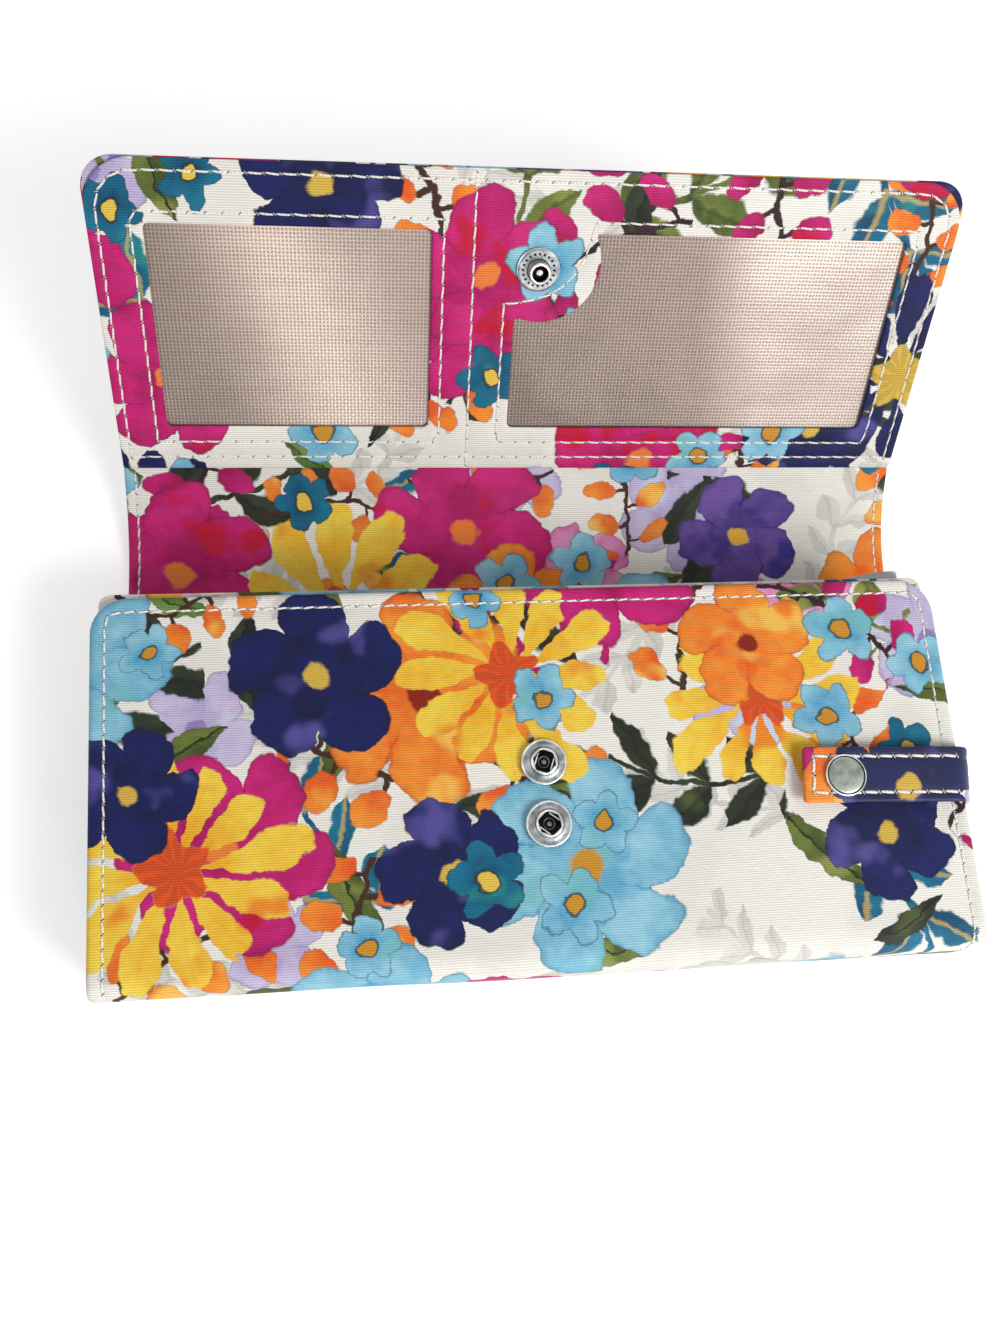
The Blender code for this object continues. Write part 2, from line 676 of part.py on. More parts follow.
def add_flap(flap):
    corners = (0, FLAP_CORNER)
    ends = (FOLD_CLEAR, FLAP_LENGTH)
    outer = FLAP_OUTER_FACE
    canvas_tray(
        "flap_canvas",
        *ends,
        corners,
        (outer, outer + CANVAS),
        (outer, FRAME_UNDERSIDE - GAP),
        flap,
        PRINT_COLOURS["flap"],
    )
    board = outer + CANVAS + GAP
    inner_sheet(
        "flap_stiffener", *ends, corners, board, board + FLAP_STIFFENER, flap, BOARD_COLOUR, 0.9
    )
    lining = board + FLAP_STIFFENER + GAP
    inner_sheet(
        "flap_pocket_lining", *ends, corners, lining, lining + LINING, flap, MESH_COLOUR, 0.5
    )
    outer_x = HALF_WIDTH - WINDOW_SIDE_MARGIN
    large_width = outer_x + LARGE_WINDOW_PAST_MIDDLE
    small_width = outer_x - LARGE_WINDOW_PAST_MIDDLE - WINDOW_POST_WIDTH
    windows = (
        ("small_window", -outer_x, small_width, False),
        ("large_window", -LARGE_WINDOW_PAST_MIDDLE, large_width, True),
    )
    frame_outline = panel_outline(*ends, 0, *corners)
    frame = prism("flap_window_frame", frame_outline, FRAME_UNDERSIDE, FLAP_FACE, flap)
    mesh_top = FRAME_UNDERSIDE - GAP
    for name, x_low, width, tongue in windows:
        hole = window_outline(x_low, width, 0, tongue)
        cut(frame, prism(name + "_cutter", hole, -FLAP_LENGTH, FLAP_LENGTH, flap))
        net = window_outline(x_low, width, MESH_OVERLAP, tongue)
        finish(
            prism(name + "_mesh", net, mesh_top - WINDOW_MESH, mesh_top, flap), MESH_COLOUR, 0.45
        )
    stud_place = Vector((0, STUD_V, FLAP_FACE + GAP))
    cut_round_hole(frame, "stud", STUD_POST_RADIUS + GAP, stud_place)
    finish(frame, PRINT_COLOURS["front"])
    stud_profile = [(r * STUD_FLANGE_RADIUS, z * STUD_FLANGE) for r, z in STUD_FLANGE_SHARES]
    stud_profile += [
        (STUD_NECK_RADIUS, STUD_FLANGE),
        (STUD_NECK_RADIUS, STUD_HEIGHT - STUD_BULB_RADIUS),
        (STUD_BULB_RADIUS, STUD_HEIGHT - STUD_BULB_RADIUS / 2),
        (STUD_BORE, STUD_HEIGHT),
        (STUD_BORE, 0),
    ]
    finish(turned("flap_snap_stud", stud_profile, flap, stud_place), STEEL_COLOUR, 0.25, 1.0)
    head_top = (0, STUD_V, FRAME_UNDERSIDE - GAP)
    rivet("flap_stud_rivet", flap, head_top, STUD_POST_RADIUS, FRAME_CANVAS + GAP + STUD_HEIGHT / 2)


def add_front(front):
    corners = (BOTTOM_CORNER, FRONT_TOP_CORNER)
    ends = (FOLD_CLEAR, FRONT_HEIGHT)
    face, inner = PANEL / 2, -PANEL / 2
    canvas = canvas_tray(
        "front_canvas",
        *ends,
        corners,
        (face - CANVAS, face),
        (inner, face),
        front,
        PRINT_COLOURS["front"],
    )
    board = face - CANVAS - GAP
    stiffener = inner_sheet(
        "front_stiffener", *ends, corners, board - STIFFENER, board, front, BOARD_COLOUR, 0.9
    )
    inner_sheet(
        "front_lining", *ends, corners, inner, inner + LINING, front, LINING_COLOUR, 0.55
    )
    seats = (
        ("upper_socket", 0, UPPER_SOCKET_Y, SOCKET_POST_RISE),
        ("lower_socket", 0, LOWER_SOCKET_Y, SOCKET_POST_RISE),
        ("tab_stud", TAB_SNAP_X, TAB_Y, 0),
    )
    for name, x, y, rise in seats:
        cut_round_hole(canvas, name, RIVET_POST_RADIUS + GAP, (x, y, 0))
        cut_round_hole(stiffener, name, RIVET_HEAD_RADIUS + GAP, (x, y, 0))
        head_top = (x, y, face - CANVAS - GAP)
        rivet(name + "_rivet", front, head_top, RIVET_POST_RADIUS, CANVAS + GAP + rise)
    for name, y in (("upper_socket", UPPER_SOCKET_Y), ("lower_socket", LOWER_SOCKET_Y)):
        seat = (0, y, face + GAP)
        snap_socket("front_" + name, front, seat)
        socket_spring(name + "_spring", front, seat)
    stud_profile = (
        (0, 0),
        (TAB_STUD_FLANGE_RADIUS, 0),
        (TAB_STUD_FLANGE_RADIUS, TAB_STUD_FLANGE),
        (TAB_STUD_RADIUS, TAB_STUD_FLANGE),
        (TAB_STUD_RADIUS, TAB_STUD_HEIGHT),
        (0, TAB_STUD_HEIGHT),
    )
    finish(
        turned("front_tab_stud", stud_profile, front, (TAB_SNAP_X, TAB_Y, face + GAP)),
        STEEL_COLOUR,
        0.3,
        1.0,
    )
    add_card_slots("front_card_slot", FRONT_SLOT_COUNT, FRONT_SLOT_HEIGHT, inner, -1, front)


def add_side_leg(front):
    """The strap's stretch down the right side, whose foot is sewn to the back's edge."""
    near = HALF_WIDTH + GAP
    top = TAB_FOLD_Z - TAB_THICKNESS / 2 - GAP - FRONT_LEVEL
    leg = block(
        "tab_side_leg",
        (near, TAB_Y - TAB_WIDTH / 2, TAB_FOOT_RISE - FRONT_LEVEL),
        (near + TAB_THICKNESS, TAB_Y + TAB_WIDTH / 2, top),
        front,
    )
    finish(leg, PRINT_COLOURS["tab"])


def add_tab(tab):
    """The strap over the front, with the cap above it and the snap ring below it."""
    half = TAB_THICKNESS / 2
    section = [(-TAB_LENGTH, -half), (0, -half)]
    for step in range(1, BEAD_STEPS):
        a = math.radians(-90 + 180 * step / BEAD_STEPS)
        section.append((half * math.cos(a), half * math.sin(a)))
    section += [(0, half), (-TAB_LENGTH, half)]
    strap = prism("tab_strap", section, -TAB_WIDTH / 2, TAB_WIDTH / 2, tab, "y")
    snap_x = TAB_SNAP_X - TAB_FOLD_X
    cut_round_hole(strap, "cap", RIVET_POST_RADIUS + GAP, (snap_x, 0, 0))
    finish(strap, PRINT_COLOURS["tab"])
    foot = half + GAP
    cap_profile = [(r * TAB_CAP_RADIUS, foot + z * TAB_CAP_HEIGHT) for r, z in CAP_CROWN_SHARES]
    cap_profile += [(0, -half), (RIVET_POST_RADIUS, -half), (RIVET_POST_RADIUS, foot)]
    finish(turned("tab_snap_cap", cap_profile, tab, (snap_x, 0, 0)), STEEL_COLOUR, 0.25, 1.0)
    ring_top = -foot
    ring_low = ring_top - TAB_SOCKET_HEIGHT
    ring_profile = (
        (TAB_STUD_RADIUS + GAP, ring_low),
        (TAB_SOCKET_RADIUS, ring_low),
        (TAB_SOCKET_RADIUS, ring_top),
        (TAB_STUD_RADIUS + GAP, ring_top),
    )
    finish(turned("tab_snap_socket", ring_profile, tab, (snap_x, 0, 0)), STEEL_COLOUR, 0.3, 1.0)


def main():
    clear_scene()
    root = axis_empty("wallet_frame", None, ORIGIN_SHIFT)
    add_back(root)
    add_bill_pocket(root)
    add_coin_pouch(root)
    add_zipper(root)
    add_card_slots("rear_card_slot", REAR_SLOT_COUNT, REAR_SLOT_HEIGHT, REAR_SLOTS_Z, 1, root)

    spine = axis_empty("spine_fold_axis", root, SPINE_FOLD, SPINE_REST_DEG)
    folded_strip(
        "spine", SPINE_CHORD, SPINE_SAG, 1, spine, PRINT_COLOURS["back"], PRINT_COLOURS["spine"]
    )
    flap = axis_empty(
        "flap_fold_axis", spine, (0, SPINE_CHORD, 0), FLAP_REST_DEG - SPINE_REST_DEG
    )
    add_flap(flap)

    bottom = axis_empty("bottom_fold_axis", root, (0, 0, FOLD_LEVEL), 90)
    bottom_chord = FRONT_LEVEL - FOLD_LEVEL
    folded_strip(
        "bottom", bottom_chord, BOTTOM_SAG, -1, bottom, PRINT_COLOURS["back"], LINING_COLOUR
    )
    front = axis_empty("front_fold_axis", bottom, (0, bottom_chord, 0), -90)
    add_front(front)
    add_side_leg(front)
    tab = axis_empty(
        "tab_lift_axis", front, (TAB_FOLD_X, TAB_Y, TAB_FOLD_Z - FRONT_LEVEL)
    )
    add_tab(tab)


main()
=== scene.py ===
"""The look of a printed canvas clutch wallet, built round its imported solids.

Lengths are in metres, and MM turns millimetres into them. The case is one long piece of canvas: x
runs across it and s along it, from the front cover's free edge, round the bottom, under the back,
up the spine and along the flap. Flat pieces on the flap use v, the distance from the flap's fold.
"""
import json
import math

import bmesh
import bpy
import numpy as np
from mathutils import Matrix, Vector, geometry


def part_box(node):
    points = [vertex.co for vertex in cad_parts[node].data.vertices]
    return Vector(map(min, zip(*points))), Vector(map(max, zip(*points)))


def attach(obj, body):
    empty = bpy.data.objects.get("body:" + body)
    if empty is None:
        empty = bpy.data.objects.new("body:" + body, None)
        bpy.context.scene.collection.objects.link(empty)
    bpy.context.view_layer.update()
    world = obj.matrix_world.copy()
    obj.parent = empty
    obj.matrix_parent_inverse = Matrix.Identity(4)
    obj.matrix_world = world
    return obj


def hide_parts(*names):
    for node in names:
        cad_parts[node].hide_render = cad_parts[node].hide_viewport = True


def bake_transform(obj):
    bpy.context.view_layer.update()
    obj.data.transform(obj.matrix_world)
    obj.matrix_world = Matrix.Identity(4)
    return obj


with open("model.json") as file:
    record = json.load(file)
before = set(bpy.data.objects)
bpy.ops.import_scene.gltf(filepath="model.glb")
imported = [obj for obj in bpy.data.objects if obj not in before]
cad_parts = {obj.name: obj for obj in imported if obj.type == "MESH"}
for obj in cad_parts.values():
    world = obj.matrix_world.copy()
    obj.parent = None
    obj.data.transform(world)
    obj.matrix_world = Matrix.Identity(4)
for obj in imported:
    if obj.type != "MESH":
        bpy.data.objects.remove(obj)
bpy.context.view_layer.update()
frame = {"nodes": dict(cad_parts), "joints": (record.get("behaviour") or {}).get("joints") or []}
MM = 0.001

# Places read from the frame
JOINTS = {joint["name"]: joint for joint in frame["joints"]}


def pivot(name):
    return Vector(JOINTS[name]["pos_m"])


SPINE_FOLD, FLAP_FOLD = pivot("spine_fold"), pivot("flap_fold")
BOTTOM_FOLD, FRONT_FOLD = pivot("bottom_fold"), pivot("front_fold")
TAB_FOLD = pivot("tab_lift")
MIDDLE_X = BOTTOM_FOLD.x
FRONT_LOW, FRONT_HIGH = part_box("front_canvas")
BACK_LOW, BACK_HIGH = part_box("back_canvas")
HALF_WIDTH = (FRONT_HIGH.x - FRONT_LOW.x) / 2
PANEL = BACK_HIGH.z - BACK_LOW.z
STRIP_HALF = 0.7 * MM
FLAP_ANGLE = math.radians(52)
FLAP_FACE = 0.9 * MM
FLAP_OUTER_FACE = -3.35 * MM
FLAP_INNER_FACE = -0.1 * MM
FLAP_LENGTH = (
    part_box("flap_window_frame")[1].z - FLAP_FOLD.z - FLAP_FACE * math.cos(FLAP_ANGLE)
) / math.sin(FLAP_ANGLE)

# Camera, fitted to the wallet's measured corners in the photograph
CAMERA_PLACE = Vector((-42.75, -76.89, 268.79)) * MM
CAMERA_FORWARD = Vector((0.12665, 0.24388, -0.9615))
CAMERA_UP = Vector((0.02258, 0.96834, 0.24859))
CAMERA_LENS = 30.975
CAMERA_SENSOR = 36.0

# Soft lamps: name, place, size in metres, power in watts
LAMPS = (
    ("key", (0.42, -0.40, 0.50), 0.34, 4.3),
    ("front", (0.15, -0.87, 0.30), 0.26, 1.6),
    ("left", (-0.68, -0.10, 0.55), 0.50, 1.3),
    ("back", (0.15, 0.80, 0.60), 0.50, 1.5),
)
LAMPS_AIM = Vector((0, 0, 0.02))
SKY = 0.31
FLOOR_GLOW = 0.4
FLOOR_HALF = 3.0
FLOOR_Z = -0.05 * MM
WHITE = (1, 1, 1, 1)
UP = (0, 0, 1)

# Points nearer than SAME are one, and FAR_OFF is farther than any two
SAME = 1e-7
FAR_OFF = 1.0
NO_AREA = 1e-13

# Where a piece goes from one body to the next, in millimetres from the fold's axis
FLAP_WAY = (0, 4 * math.cos(FLAP_ANGLE), 4 * math.sin(FLAP_ANGLE))
BLENDS = {
    "front": ("bottom", "front", FRONT_FOLD, (0, -1, -4), (0, 4, 0)),
    "bottom": ("back", "bottom", BOTTOM_FOLD, (0, 4, 0), (0, -1, 4)),
    "spine": ("back", "spine", SPINE_FOLD, (0, -4, 0), (0, 4, 1.4)),
    "flap": ("spine", "flap", FLAP_FOLD, (0, -4 * math.cos(0.7), -4 * math.sin(0.7)), FLAP_WAY),
    "tab": ("front", "tab", TAB_FOLD, (0.6, 0, -3.5), (-3.5, 0, 0.2)),
}

# Case
SQUARE = (0, 0, 0, 0)
CASE_EDGE = 1.25 * MM
TABLE_PRESS = 0.17 * MM
TRAY_DEPTH = 1.65 * MM
FRONT_TOP_CORNER = 8 * MM
FLAP_CORNER = 7 * MM
BOTTOM_SAG = 0.3 * MM
BOTTOM_CREASE = 0.9 * MM
LEFT_TUCK = 0.8 * MM
SPINE_SAG = 2.7 * MM
COVER_UP = 0.55 * MM
COVER_TURN = 1.0 * MM
COVER_ASIDE = -1.75 * MM
COVER_STRETCH = 0.65 * MM
COVER_SHEAR = -0.97 * MM

# Side tab
TAB_SHIFT = 0.7 * MM
TAB_TURN = math.tan(math.radians(1.6))
TAB_SPARE = 0.4 * MM
TAB_ASIDE = -0.3 * MM
TAB_LEAN = 0.09
TAB_CORNERS = (1 * MM, 0.6 * MM, 0.6 * MM, 1 * MM)
TAB_STITCH_IN = 2.2 * MM
TAB_STITCH_END = 2.3 * MM
TAB_BEND = 3 * MM
TAB_DOWN = 18 * MM
CAP_SHIFT = Vector((-0.85, 1.2, 0)) * MM
CAP_HEIGHT = 1.2 * MM

# Windows of the flap, their frame, and the round tongue that carries the stud
FRAME_LOW = 1.0 * MM
FRAME_CORNER = 10.5 * MM
FRAME_HEM = 2.4 * MM
FRAME_PERIMETER_LOW = 3.6 * MM
FOLD_ROW = 4.0 * MM
WINDOW_ROW = 7.9 * MM
WINDOW_SEAM_ASIDE = 2.5 * MM
WINDOW_SEAM_UP = 2.4 * MM
POST_SEAM = ((-14.0 * MM, 1.6 * MM), (-14.3 * MM, FLAP_LENGTH - 0.8 * MM))
WINDOW_EDGE = HALF_WIDTH - 11.4 * MM
WINDOW_LOW = 11.8 * MM
WINDOW_HIGH = FLAP_LENGTH - 12.8 * MM
WINDOW_POST_X = (-23.3 * MM, -4.6 * MM)
WINDOW_CORNER = 1.2 * MM
TONGUE_RADIUS = 13 * MM
STUD_V = FLAP_LENGTH - 20.5 * MM
TONGUE = Vector((0.9 * MM, STUD_V + 1.1 * MM))
TONGUE_FOOT = 41.5 * MM
TONGUE_SEAM = ((-2.1, 42.2), (2.2, 43.3), (5.7, 45.5), (8.4, 48.4), (10.5, 52.8))
TONGUE_END = 12.0 * MM
NET_MARGIN = 2.2 * MM
BACKING_IN = 6 * MM

# Seams
FLAP_PITCH = 3.5 * MM
COVER_PITCH = 2.9 * MM
TAB_PITCH = 3.8 * MM
THREAD_RADIUS = 0.21 * MM
TAB_THREAD = 0.3 * MM
POCKET_THREAD = 0.15 * MM
COVER_STITCH_IN = 3.3 * MM
COVER_STITCH_CORNER = 2.4 * MM
COVER_STITCH_END = 1.5 * MM
SPINE_STITCH_IN = 2.5 * MM
BACK_STITCHES = 14 * MM
OUTLINE_STEP = 1.2 * MM

# Snaps: the stud's foot over the flap's fold line, and the two spring wires in each socket, which
# lean by some degrees and lie to either side of its middle
STUD_LIFT = 1.1 * MM
SPRING_LEANS = (("upper", -20), ("lower", 53))
SPRING_ASIDE = 1.82 * MM
SPRING_HALF = 1.35 * MM
SPRING_HEIGHT = 1.05 * MM
SPRING_RADIUS = 0.2 * MM

# Inside of the block: thickness, corners at the mouth and hem of its sheets, and how much the
# cover's inner canvas is wider and longer than its solid
SLOT_SIZES = (0.42 * MM, 2 * MM, 1.8 * MM)
INNER_SIZES = (0.24 * MM, 2.5 * MM, 2.4 * MM)
INNER_GROW = (-0.3 * MM, 2.1 * MM)
POCKET_CORNER = 3 * MM
POCKET_HEM = 2 * MM
SLOT_RISE = 0.25 * MM
BACK_SATIN_HALF = 93.4 * MM
BACK_SATIN_V = (2 * MM, 84 * MM)
BACK_SATIN_RISE = 0.14 * MM
TAPE_IN = 0.35 * MM
TAPE_TURN = 0.9 * MM
TAPE_WIDTH = 10.5 * MM
TOOTH_PITCH = 1.3 * MM
TOOTH_LENGTH = 0.85 * MM
TOOTH_HEIGHT = 1.4 * MM
TOOTH_SHIFT = 0.28 * MM

# Gusset folds: each is a step smaller than the one below it, starts farther right and lies higher
GUSSET_FOLDS = 4
GUSSET_MOUTH = 84.6 * MM
GUSSET_LOW = 24 * MM
GUSSET_CORNER = 0.9 * MM
GUSSET_RIGHT = 89.3 * MM
GUSSET_TOP = 89.9 * MM
GUSSET_STEP = 0.75 * MM
GUSSET_LEFT = 56 * MM
GUSSET_LEFT_STEP = 2 * MM
GUSSET_HEIGHT = 17.9 * MM
GUSSET_RISE = 0.95 * MM

# The net, for its shader, in millimetres on the cloth: its threads' pitch, the x between the two
# windows and the windows' foot. Painted highlight lies on it in broad bands, and painted shade elsewhere
NET_PITCH = 0.8
NET_PARTING = -14.0
NET_FOOT = 12.0
# Painted shade: away from its bands of painted highlight, the net's colour is multiplied by this
NET_PAINTED_SHADE = (0.52, 0.48, 0.46, 1)
# Painted highlight: the left window's band is multiplied by this, brighter than white
LEFT_PAINTED_GLEAM = (1.42, 1.4, 1.38, 1)
# Where the painted highlight lies: on the left x, lean and half width; on the right lean, and x from and to
LEFT_PAINTED_HIGHLIGHT = (-43.0, 0.34, 15.0)
RIGHT_PAINTED_HIGHLIGHT = (0.12, 40.0, 60.0)
# How it hangs: slope, and folds by side, x, height, lean, roundness and the slope that they add
LEFT_SLACK = (0.09, ((-1, -55.0, 12.0, 0.5, 9.0, 0.12), (1, -31.0, 12.0, 0.28, 9.0, -0.2)))
RIGHT_SLACK = (0.13, ((1, 47.0, 35.0, 0.15, 6.0, -0.25),))

# Turns of the sewing thread in a metre, and the radians of the twill's wave in a metre
THREAD_TWIST = 1100.0
TWILL = 9000.0


def srgb(red, green, blue):
    """A colour as the screen shows it, turned into the linear one that shaders use."""
    return tuple(((c / 255 + 0.055) / 1.055) ** 2.4 for c in (red, green, blue)) + (1.0,)


# Paints of the print: where the wash is light, where it is deep, where a second one flushes into
# it, and the heart of a flower
PAINTS = {
    "magenta": (srgb(214, 40, 128), srgb(160, 8, 84), srgb(196, 14, 40), srgb(240, 130, 60)),
    "pink": (srgb(232, 160, 204), srgb(208, 70, 146), srgb(240, 190, 214), srgb(150, 20, 80)),
    "orange": (srgb(250, 158, 56), srgb(232, 92, 34), srgb(252, 204, 92), srgb(140, 34, 18)),
    "yellow": (srgb(250, 222, 84), srgb(240, 172, 36), srgb(238, 128, 40), srgb(232, 88, 36)),
    "blue": (srgb(160, 212, 230), srgb(76, 160, 200), srgb(120, 190, 196), srgb(206, 146, 46)),
    "teal": (srgb(24, 118, 150), srgb(8, 70, 104), srgb(40, 140, 140), srgb(232, 196, 80)),
    "navy": (srgb(22, 31, 94), srgb(9, 11, 46), srgb(90, 84, 160), srgb(216, 180, 76)),
    "purple": (srgb(116, 86, 166), srgb(48, 32, 112), srgb(36, 40, 130), srgb(236, 184, 64)),
    "lavender": (srgb(212, 202, 230), srgb(176, 160, 208), srgb(206, 220, 236), srgb(150, 130, 190)),
    "olive": (srgb(116, 130, 58), srgb(62, 78, 32), srgb(150, 156, 80), srgb(34, 44, 22)),
    "dark": (srgb(52, 60, 42), srgb(20, 24, 18), srgb(84, 96, 56), srgb(12, 14, 10)),
    "green": (srgb(128, 156, 80), srgb(74, 108, 48), srgb(168, 180, 100), srgb(40, 66, 28)),
    "grey": (srgb(224, 222, 216), srgb(206, 204, 198), srgb(232, 228, 220), srgb(188, 186, 180)),
}
INK = srgb(22, 24, 34)
GROUND = srgb(243, 240, 232)

# Layers of the print, lowest first: kind, count of its parts, cell, radius in cells from and to,
# share of cells, and paints that a motif may take
LAYERS = (
    ("sprig", 3, 38.0, 0.40, 0.62, 0.75, ("grey",)),
    ("bloom", 5, 33.0, 0.34, 0.50, 0.34, ("lavender", "grey", "lavender", "pink")),
    ("sprig", 2, 40.0, 0.46, 0.64, 0.60, ("dark", "olive", "teal", "dark")),
    ("leaf", 1, 24.0, 0.38, 0.56, 0.42, ("olive", "green", "dark", "olive")),
    ("berries", 2, 36.0, 0.46, 0.62, 0.55, ("orange", "orange", "magenta")),
    ("bloom", 6, 52.0, 0.36, 0.47, 0.62, ("magenta", "orange", "magenta", "blue", "magenta")),
    ("daisy", 12, 60.0, 0.38, 0.47, 0.50, ("yellow", "navy", "yellow", "orange")),
    ("bloom", 5, 44.0, 0.32, 0.44, 0.40, ("magenta", "navy", "orange", "purple")),
    ("posy", 5, 20.0, 0.34, 0.47, 0.28, ("blue", "blue", "teal", "blue")),
)


class Wire:
    """An output socket of a shader tree that formulas can use."""

    def __init__(self, tree, socket):
        self.tree = tree
        self.socket = socket

    def __add__(self, other):
        return self.tree.math("ADD", self, other)

    def __sub__(self, other):
        return self.tree.math("SUBTRACT", self, other)

    def __rsub__(self, other):
        return self.tree.math("SUBTRACT", other, self)

    def __mul__(self, other):
        return self.tree.math("MULTIPLY", self, other)

    def __truediv__(self, other):
        return self.tree.math("DIVIDE", self, other)

    def __abs__(self):
        return self.tree.math("ABSOLUTE", self)


class Tree:
    """Adds nodes to a shader tree from formulas."""

    def __init__(self, tree):
        self.nodes = tree.nodes
        self.links = tree.links

    def feed(self, socket, value):
        if isinstance(value, Wire):
            self.links.new(value.socket, socket)
        elif value is not None:
            socket.default_value = value

    def node(self, kind, values=(), named=None, **settings):
        node = self.nodes.new("ShaderNode" + kind)
        for key, value in settings.items():
            setattr(node, key, value)
        for socket, value in zip(node.inputs, values):
            self.feed(socket, value)
        for name, value in (named or {}).items():
            self.feed(node.inputs[name], value)
        return node

    def wire(self, kind, values=(), output=0, named=None, **settings):
        return Wire(self, self.node(kind, values, named, **settings).outputs[output])

    def math(self, operation, *values):
        return self.wire("Math", values, operation=operation)

    def wave(self, operation, turns):
        """A sine or cosine of some turns, from 0 to 1."""
        return self.math(operation, turns * math.tau) * 0.5 + 0.5

    def own_place(self):
        """The place in the piece's own coordinates."""
        return self.wire("TexCoord", output=3)

    def vector(self, operation, *values, output=0):
        return self.wire("VectorMath", values, output, operation=operation)

    def split(self, vector):
        node = self.node("SeparateXYZ", (vector,))
        return [Wire(self, socket) for socket in node.outputs]

    def join(self, x, y, z=0.0):
        return self.wire("CombineXYZ", (x, y, z))

    def ramp(self, value, start, end):
        """0 below start, 1 above end and smooth between."""
        return self.wire("MapRange", (value, start, end, 0.0, 1.0), interpolation_type="SMOOTHSTEP")

    def mix(self, share, first, second, blend="MIX"):
        node = self.node("Mix", data_type="RGBA", blend_type=blend)
        self.feed(node.inputs[0], share)
        self.feed(node.inputs[6], first)
        self.feed(node.inputs[7], second)
        return Wire(self, node.outputs[2])

    def noise(self, place, scale, detail=2.0, roughness=0.5, output="Fac"):
        named = {"Vector": place, "Scale": scale, "Detail": detail, "Roughness": roughness}
        node = self.node("TexNoise", named=named)
        return Wire(self, node.outputs[output])


def polar(t, at):
    x, y, _ = t.split(at)
    return t.vector("LENGTH", at, output=1), t.math("ARCTAN2", y, x)


def draw_bloom(t, at, count):
    """A ruffled flower of broad lobes, with an inner ring of lobes and a small heart."""
    r, turn = polar(t, at)
    bowed = turn + r * 0.5
    lobe = abs(t.math("COSINE", bowed * (count / 2)))
    rim = t.math("POWER", 1.0 - lobe, 1.7) * -0.36 + 1.0
    inner = abs(t.math("SINE", bowed * (count / 2))) * 0.2 + 0.34
    fold = t.ramp(lobe, 0.14, 0.0) * t.ramp(r, 0.2, 0.5)
    ring = t.ramp(r - inner, 0.03, -0.03)
    edge = t.ramp(rim - r, 0.12, 0.0)
    pooled = t.ramp(rim - r, 0.05, 0.015) * 0.32 + edge * 0.12
    return t.ramp(rim - r, 0.0, 0.03), fold * 0.8 + ring * 0.45 + edge * 0.4, t.ramp(r, 0.17, 0.12), pooled


def draw_daisy(t, at, count):
    """A flower of slim round-ended petals, each of its own length, round a wide heart."""
    r, turn = polar(t, at)
    steps = (turn + r * 0.15) * (count / math.tau)
    petal = t.math("ROUND", steps)
    chance = t.wire("TexWhiteNoise", noise_dimensions="1D", named={"W": petal})
    reach = r * (chance * 0.3 + 0.92)
    width = t.ramp(reach, 0.02, 0.6) * t.math("SQRT", t.ramp(reach, 1.0, 0.72)) * 0.3 + 0.14
    side = abs(steps - petal)
    mask = t.ramp(width - side, 0.0, 0.05) * t.ramp(reach, 1.0, 0.97)
    heart = t.ramp(r - t.math("SINE", turn * 5) * 0.06, 0.27, 0.24)
    tone = t.ramp(r, 0.8, 0.25) * 0.7 + t.ramp(side, 0.05, 0.0) * 0.3
    return t.math("MAXIMUM", mask, heart), tone, heart, t.ramp(width - side, 0.06, 0.0) * 0.2


def draw_posy(t, at, count):
    """A small flower of round petals, outlined, with an outlined heart."""
    r, turn = polar(t, at)
    rim = abs(t.math("COSINE", turn * (count / 2))) * 0.36 + 0.62
    ink = t.ramp(rim - r, 0.09, 0.02) + t.ramp(abs(r - 0.26), 0.05, 0.02)
    return t.ramp(rim - r, 0.0, 0.05), t.ramp(r, 0.75, 0.2), t.ramp(r, 0.27, 0.22), ink * 0.75


def draw_leaf(t, at, count):
    """A pointed leaf, darker on one side of its rib."""
    x, y, _ = t.split(at)
    bowed = y - x * x * 0.12
    side = abs(bowed)
    width = (1.0 - x * x) * (x * 0.08 + 0.27)
    rib = t.ramp(side, 0.03, 0.01)
    edge = width - side
    return t.ramp(edge, 0.0, 0.03), t.ramp(bowed, -0.02, 0.02), rib, t.ramp(edge, 0.05, 0.01) * 0.6


def branch(t, at):
    """Along a bowed stem: how far past it, and its own mask."""
    x, y, _ = t.split(at)
    bowed = y - x * x * 0.22
    return x, bowed, t.ramp(abs(bowed), 0.042, 0.025) * t.ramp(abs(x), 1.0, 0.96)


def draw_sprig(t, at, count):
    """A bowed stem with pairs of pointed leaves."""
    x, y, stem = branch(t, at)
    out = abs(y)
    along = (t.math("FRACT", x * count * 0.8 + 0.5) - 0.2) / (count * 0.8)
    u = (along + out) * (count * 0.46)
    across = (out - along) * (count * 0.46)
    width = (1.0 - u) * u * 0.95
    leaf = t.ramp(width - abs(across), 0.0, 0.05) * t.ramp(abs(x), 1.02, 0.98)
    rib = t.ramp(abs(across), 0.05, 0.01)
    return t.math("MAXIMUM", leaf, stem), t.ramp(across, -0.02, 0.02) * 0.7, rib * 0.5, 0.0


def draw_berries(t, at, count):
    """A bowed stem with drop-shaped buds on short stalks, in turn on either side."""
    x, y, stem = branch(t, at)
    out = abs(y)
    shift = t.math("GREATER_THAN", y, 0.0) * 0.5
    along = (t.math("FRACT", x * count + shift) - 0.5) / count
    span = t.vector("LENGTH", t.join(along - out * 0.2, (out - 0.36) * 0.72), output=1)
    berry = t.ramp(span, 0.165, 0.145) * t.ramp(abs(x), 0.98, 0.92)
    stalk = t.ramp(abs(along), 0.035, 0.02) * t.ramp(out, 0.3, 0.28) * t.ramp(abs(x), 1.0, 0.96)
    mask = t.math("MAXIMUM", t.math("MAXIMUM", stalk, stem), berry)
    return mask, t.ramp(out, 0.5, 0.2), (1.0 - berry) * 0.95, t.ramp(span, 0.13, 0.16) * berry * 0.2


DRAWERS = {
    "bloom": draw_bloom,
    "daisy": draw_daisy,
    "posy": draw_posy,
    "leaf": draw_leaf,
    "sprig": draw_sprig,
    "berries": draw_berries,
}


